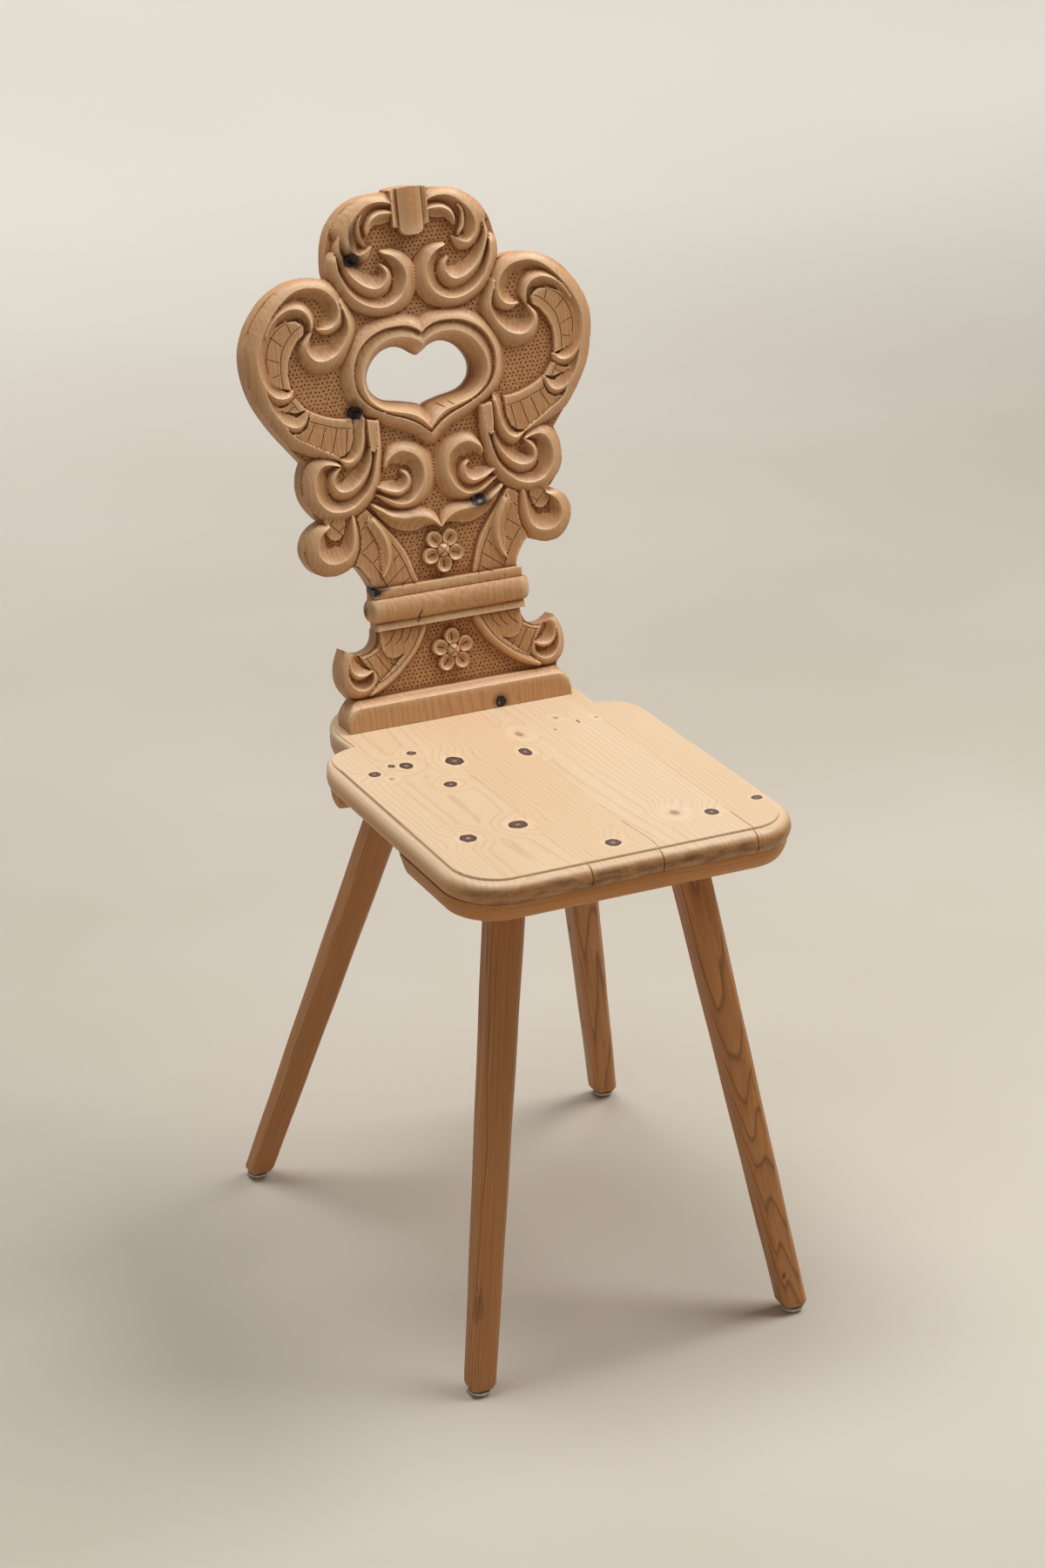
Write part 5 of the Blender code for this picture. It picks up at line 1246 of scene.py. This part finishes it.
def seat_material():
    """Pale glued strips with reddish knots and dark end grain, painted shade in the cracks, and an edge
    painted darker towards its underside as shade.
    """
    graph = Graph("seat_pine", 0.46)
    grain = graph.attribute("grain", "Vector")
    ends = graph.attribute("endwood")
    cut = graph.attribute("cut")
    offsets = ((0.11, 0.02, 0.7), (0.05, -0.012, 0.45), (-0.13, 0.017, 0.9), (0.21, 0.01, 0.33))
    split, number = strip_grain(graph, grain, SEAT_JOINTS, offsets)
    lumps = graph.noise(grain, (240.0, 240.0, 240.0), 3.0)
    wobble = graph.times(graph.minus(lumps, 0.5), 0.40)
    far = knot_field(graph, grain, SEAT_KNOTS, wobble)
    pale = knot_field(graph, grain, PALE_KNOTS, wobble)
    push = graph.times(graph.ease(graph.math("MINIMUM", far, pale), 4.2, 0.9), 0.008)
    rings = growth_rings(graph, split, (0.03, -0.030, 0.0), 0.0042, push, 0.034)
    fine, streak, resin = fibres(graph, split)
    tone = graph.noise(split, (12.0, 12.0, 3.0), 2.0)
    strip = graph.math("FRACT", graph.times(number, 0.382))
    graph.base = graph.mix(tone, srgb(214, 188, 152), srgb(222, 200, 170))
    graph.coat(graph.times(strip, 0.40), 214, 176, 130)
    graph.coat(graph.times(rings, 0.42), 194, 144, 92)
    graph.coat(graph.ease(streak, 0.4, 0.75, 0.0, 0.22), 214, 172, 126)
    graph.coat(graph.times(resin, 0.20), 178, 124, 78)
    blush = graph.noise(split, (26.0, 26.0, 7.0), 3.0)
    graph.coat(graph.ease(blush, 0.6, 0.78, 0.0, 0.35), 222, 176, 138)
    line = None
    x = graph.axis(grain, 0)
    for joint in SEAT_JOINTS:
        near = graph.math("ABSOLUTE", graph.minus(x, joint))
        here = graph.ease(near, 0.0006, 0.0)
        line = here if line is None else graph.math("MAXIMUM", line, here)
    graph.coat(graph.times(line, 0.30), 170, 112, 66)
    # Painted shade: the seat's rounded edge darker towards its underside.
    place = graph.place()
    height = graph.axis(place, 2)
    graph.coat(graph.ease(height, 0.4580, 0.4485, 0.0, 0.8), 198, 136, 74)
    end_tone = graph.noise(grain, (60.0, 190.0, 44.0), 3.0)
    end_colour = graph.mix(graph.ease(end_tone, 0.38, 0.72), srgb(186, 134, 82), srgb(104, 62, 28))
    end_colour = graph.mix(graph.times(rings, 0.45), end_colour, srgb(120, 76, 44))
    graph.base = graph.mix(graph.times(ends, 0.85), graph.base, end_colour)
    graph.coat(graph.ease(pale, 3.0, 1.0, 0.0, 0.45), 232, 204, 172)
    ring_line = graph.ramp(graph.math("FRACT", graph.times(pale, 3.0)),
                           [(0.0, 0.0), (1.0, 0.0), (0.5, 0.8), (0.75, 0.2)])
    graph.coat(graph.times(ring_line, graph.ease(pale, 1.7, 0.6, 0.0, 0.55)), 150, 112, 84)
    graph.coat(graph.ease(pale, 0.75, 0.45, 0.0, 0.75), 150, 118, 96)
    graph.coat(graph.ease(far, 2.0, 1.02, 0.0, 0.30), 236, 210, 178)
    core = graph.ramp(far, [(0.0, srgb(178, 150, 138)), (1.0, srgb(66, 44, 38)), (0.24, srgb(128, 100, 92)),
                            (0.38, srgb(84, 60, 54)), (0.62, srgb(104, 78, 68)), (0.82, srgb(62, 42, 40))])
    graph.base = graph.mix(graph.ease(far, 1.08, 0.94), graph.base, core)
    # Painted shade inside the cracks and the splits of the front edge.
    graph.coat(graph.ease(cut, 0.35, 0.95, 0.0, 0.85), 82, 46, 24)
    height = graph.plus(graph.times(fine, 0.05), graph.times(streak, 0.10))
    height = graph.minus(height, graph.times(line, 0.2))
    height = graph.plus(height, graph.times(rings, 0.05))
    rough = graph.ease(streak, 0.2, 0.8, 0.36, 0.52)
    return graph.finish(height, 0.35, rough)


def frame_material(name, from_object=False):
    """Brown wood with strong growth rings, for the legs, battens and keys."""
    graph = Graph(name, 0.5)
    place = graph.place()
    if from_object:
        grain = graph.node("ShaderNodeMapping", {"Vector": place, "Rotation": (math.pi / 2, 0.0, 0.0)})
        ends = 0.0
    else:
        grain = graph.attribute("grain", "Vector")
        ends = graph.attribute("endwood")
    rings = growth_rings(graph, grain, (0.021, 0.034, 0.0), 0.0031, 0.0, 0.042)
    fine, streak, resin = fibres(graph, grain)
    tone = graph.noise(grain, (9.0, 9.0, 3.0), 2.0)
    graph.base = graph.mix(tone, srgb(184, 122, 64), srgb(206, 146, 86))
    graph.coat(graph.times(rings, 0.74), 112, 60, 24)
    graph.coat(graph.ease(streak, 0.35, 0.72, 0.0, 0.32), 140, 84, 40)
    graph.coat(graph.times(resin, 0.40), 88, 48, 20)
    graph.coat(graph.times(ends, 0.5), 108, 62, 30)
    height = graph.axis(place, 2)
    graph.coat(graph.ease(height, 0.405, 0.418, 0.0, 0.35), 222, 146, 60)
    lumps = graph.noise(place, (300.0, 300.0, 90.0), 3.0)
    wobble = graph.times(graph.minus(lumps, 0.5), 2.2)
    for x, y, z, wide, tall, dark in LEG_MARKS:
        off = graph.vector("SUBTRACT", place, (x, y, z))
        off = graph.vector("MULTIPLY", off, (1 / wide, 1 / wide, 1 / tall))
        near = graph.plus(graph.vector("LENGTH", off, output="Value"), wobble)
        graph.coat(graph.ease(near, 1.2, 0.5, 0.0, dark), 46, 30, 20)
    height = graph.plus(graph.times(fine, 0.08), graph.times(streak, 0.14))
    height = graph.plus(height, graph.times(rings, 0.12))
    rough = graph.ease(streak, 0.2, 0.8, 0.40, 0.60)
    return graph.finish(height, 0.45, rough)


def glide_material():
    graph = Graph("glide_plastic", 0.42)
    place = graph.place()
    dirt = graph.noise(place, (420.0, 420.0, 420.0), 3.0)
    height = graph.axis(place, 2)
    # Painted contact shadow: the glide darker towards its foot.
    low = graph.ease(height, 0.0022, 0.0, 0.0, 0.6)
    graph.base = graph.mix(graph.ease(dirt, 0.4, 0.7), srgb(206, 204, 198), srgb(172, 168, 160))
    graph.coat(low, 96, 88, 78)
    return graph.finish(dirt, 0.12)


def dress(obj, material):
    obj.data.materials.clear()
    obj.data.materials.append(material)


def floor_material():
    """A pale floor that keeps the chair's shadow and stays bright into the distance."""
    graph = Graph("pale_floor", 0.8)
    place = graph.place()
    mottle = graph.noise(place, (1.3, 1.3, 1.3), 3.0)
    graph.base = graph.mix(graph.ease(mottle, 0.3, 0.7), srgb(203, 193, 176), srgb(210, 201, 186))
    graph.link(graph.base, graph.shader.inputs["Base Color"])
    rays = graph.tree.nodes.new("ShaderNodeLightPath")
    seen = graph.math("MAXIMUM", rays.outputs["Is Camera Ray"], rays.outputs["Is Glossy Ray"])
    seen = graph.math("MAXIMUM", seen, rays.outputs["Is Transmission Ray"])
    side = graph.math("ABSOLUTE", graph.axis(place, 0))
    along = graph.axis(place, 1)
    height = graph.axis(place, 2)
    away = graph.minus(graph.math("MAXIMUM", side, graph.math("ABSOLUTE", along)), 0.9)
    along = graph.math("MAXIMUM", along, away)
    far = graph.plus(graph.ease(along, 0.4, 4.5), graph.ease(height, 0.0, 3.0))
    far = graph.node("ShaderNodeClamp", {0: far})
    strength = graph.times(far, graph.times(seen, 0.70))
    graph.shader.inputs["Emission Color"].default_value = srgb(236, 232, 224)
    graph.link(strength, graph.shader.inputs["Emission Strength"])
    return graph.material


def stage():
    """A pale floor that curves up into a backdrop far behind."""
    profile = [(-6.0, 0.0), (4.0, 0.0)]
    bend = np.linspace(0.1, math.pi / 2, 14)
    profile += [(4.0 + 2.5 * math.sin(a), 2.5 - 2.5 * math.cos(a)) for a in bend]
    profile += [(6.5, 7.0)]
    points = [(x, y, z) for y, z in profile for x in (-9.0, 9.0)]
    faces = [(2 * k, 2 * k + 1, 2 * k + 3, 2 * k + 2) for k in range(len(profile) - 1)]
    mesh = bpy.data.meshes.new("floor")
    mesh.from_pydata(points, [], faces)
    made = new_object("floor", mesh)
    mesh.shade_smooth()
    dress(made, floor_material())


def lamp(name, at, aim, size, power, colour):
    data = bpy.data.lights.new(name, "AREA")
    data.shape = "RECTANGLE"
    data.size, data.size_y = size
    data.energy = power
    data.color = colour
    made = new_object(name, data)
    made.location = at
    made.rotation_euler = (Vector(aim) - Vector(at)).to_track_quat("-Z", "Y").to_euler()


def lights():
    aim = (0.0, 0.0, 0.5)
    lamp("window", (1.7, -0.3, 2.9), aim, (1.6, 1.6), 70.0, (0.98, 0.99, 1.01))
    lamp("ceiling", (-0.4, 0.3, 3.3), aim, (1.3, 1.3), 52.0, (0.97, 0.99, 1.03))
    lamp("front_fill", (-2.8, -3.2, 1.6), aim, (3.0, 2.4), 10.5, (1.0, 0.91, 0.78))
    world = bpy.data.worlds.new("room")
    bpy.context.scene.world = world
    world.use_nodes = True
    shade = world.node_tree.nodes["Background"]
    shade.inputs["Color"].default_value = (1.0, 0.91, 0.80, 1.0)
    rays = world.node_tree.nodes.new("ShaderNodeLightPath")
    strength = world.node_tree.nodes.new("ShaderNodeMath")
    strength.operation = "MULTIPLY_ADD"
    world.node_tree.links.new(rays.outputs["Is Camera Ray"], strength.inputs[0])
    strength.inputs[1].default_value = 0.62
    strength.inputs[2].default_value = 0.17
    world.node_tree.links.new(strength.outputs[0], shade.inputs["Strength"])


def camera():
    data = bpy.data.cameras.new("camera")
    data.lens = CAMERA_LENS
    data.sensor_width = 36.0
    data.clip_end = 60.0
    s, c = math.sin(CAMERA_YAW), math.cos(CAMERA_YAW)
    look = Vector((-s * math.cos(CAMERA_PITCH), c * math.cos(CAMERA_PITCH), -math.sin(CAMERA_PITCH)))
    level = Vector((c, s, 0.0))
    upward = level.cross(look)
    right = math.cos(CAMERA_ROLL) * level + math.sin(CAMERA_ROLL) * upward
    up = -math.sin(CAMERA_ROLL) * level + math.cos(CAMERA_ROLL) * upward
    turn = Matrix((right, up, -look)).transposed()
    made = new_object("camera", data)
    made.matrix_world = Matrix.Translation(CAMERA_AT) @ turn.to_4x4()
    bpy.context.scene.camera = made


def build():
    carved = carved_material()
    pale = seat_material()
    brown = frame_material("frame_pine")
    key_wood = frame_material("key_pine", True)
    plastic = glide_material()
    dress(carved_board(), carved)
    dress(tenons(), carved)
    dress(seat(), pale)
    dress(batten("front_rail", "front_batten", FRONT_BATTEN_REAR, -1, 0.0), brown)
    dress(batten("rear_rail", "rear_batten", REAR_BATTEN_FRONT, 1, 0.4), brown)
    seed = 1
    for where, foot, top in (("front", FRONT_FOOT, FRONT_TOP), ("rear", REAR_FOOT, REAR_TOP)):
        for sign, side in ((-1, "left"), (1, "right")):
            name = where + "_" + side
            made = leg(name + "_leg", (sign * foot[0], foot[1]), (sign * top[0], top[1]), seed)
            dress(made, brown)
            dress(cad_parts["glide_" + name], plastic)
            seed += 1
    for side in ("left", "right"):
        dress(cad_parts["tenon_key_" + side], key_wood)


build()
stage()
lights()
camera()
bpy.context.scene.view_settings.view_transform = "Standard"
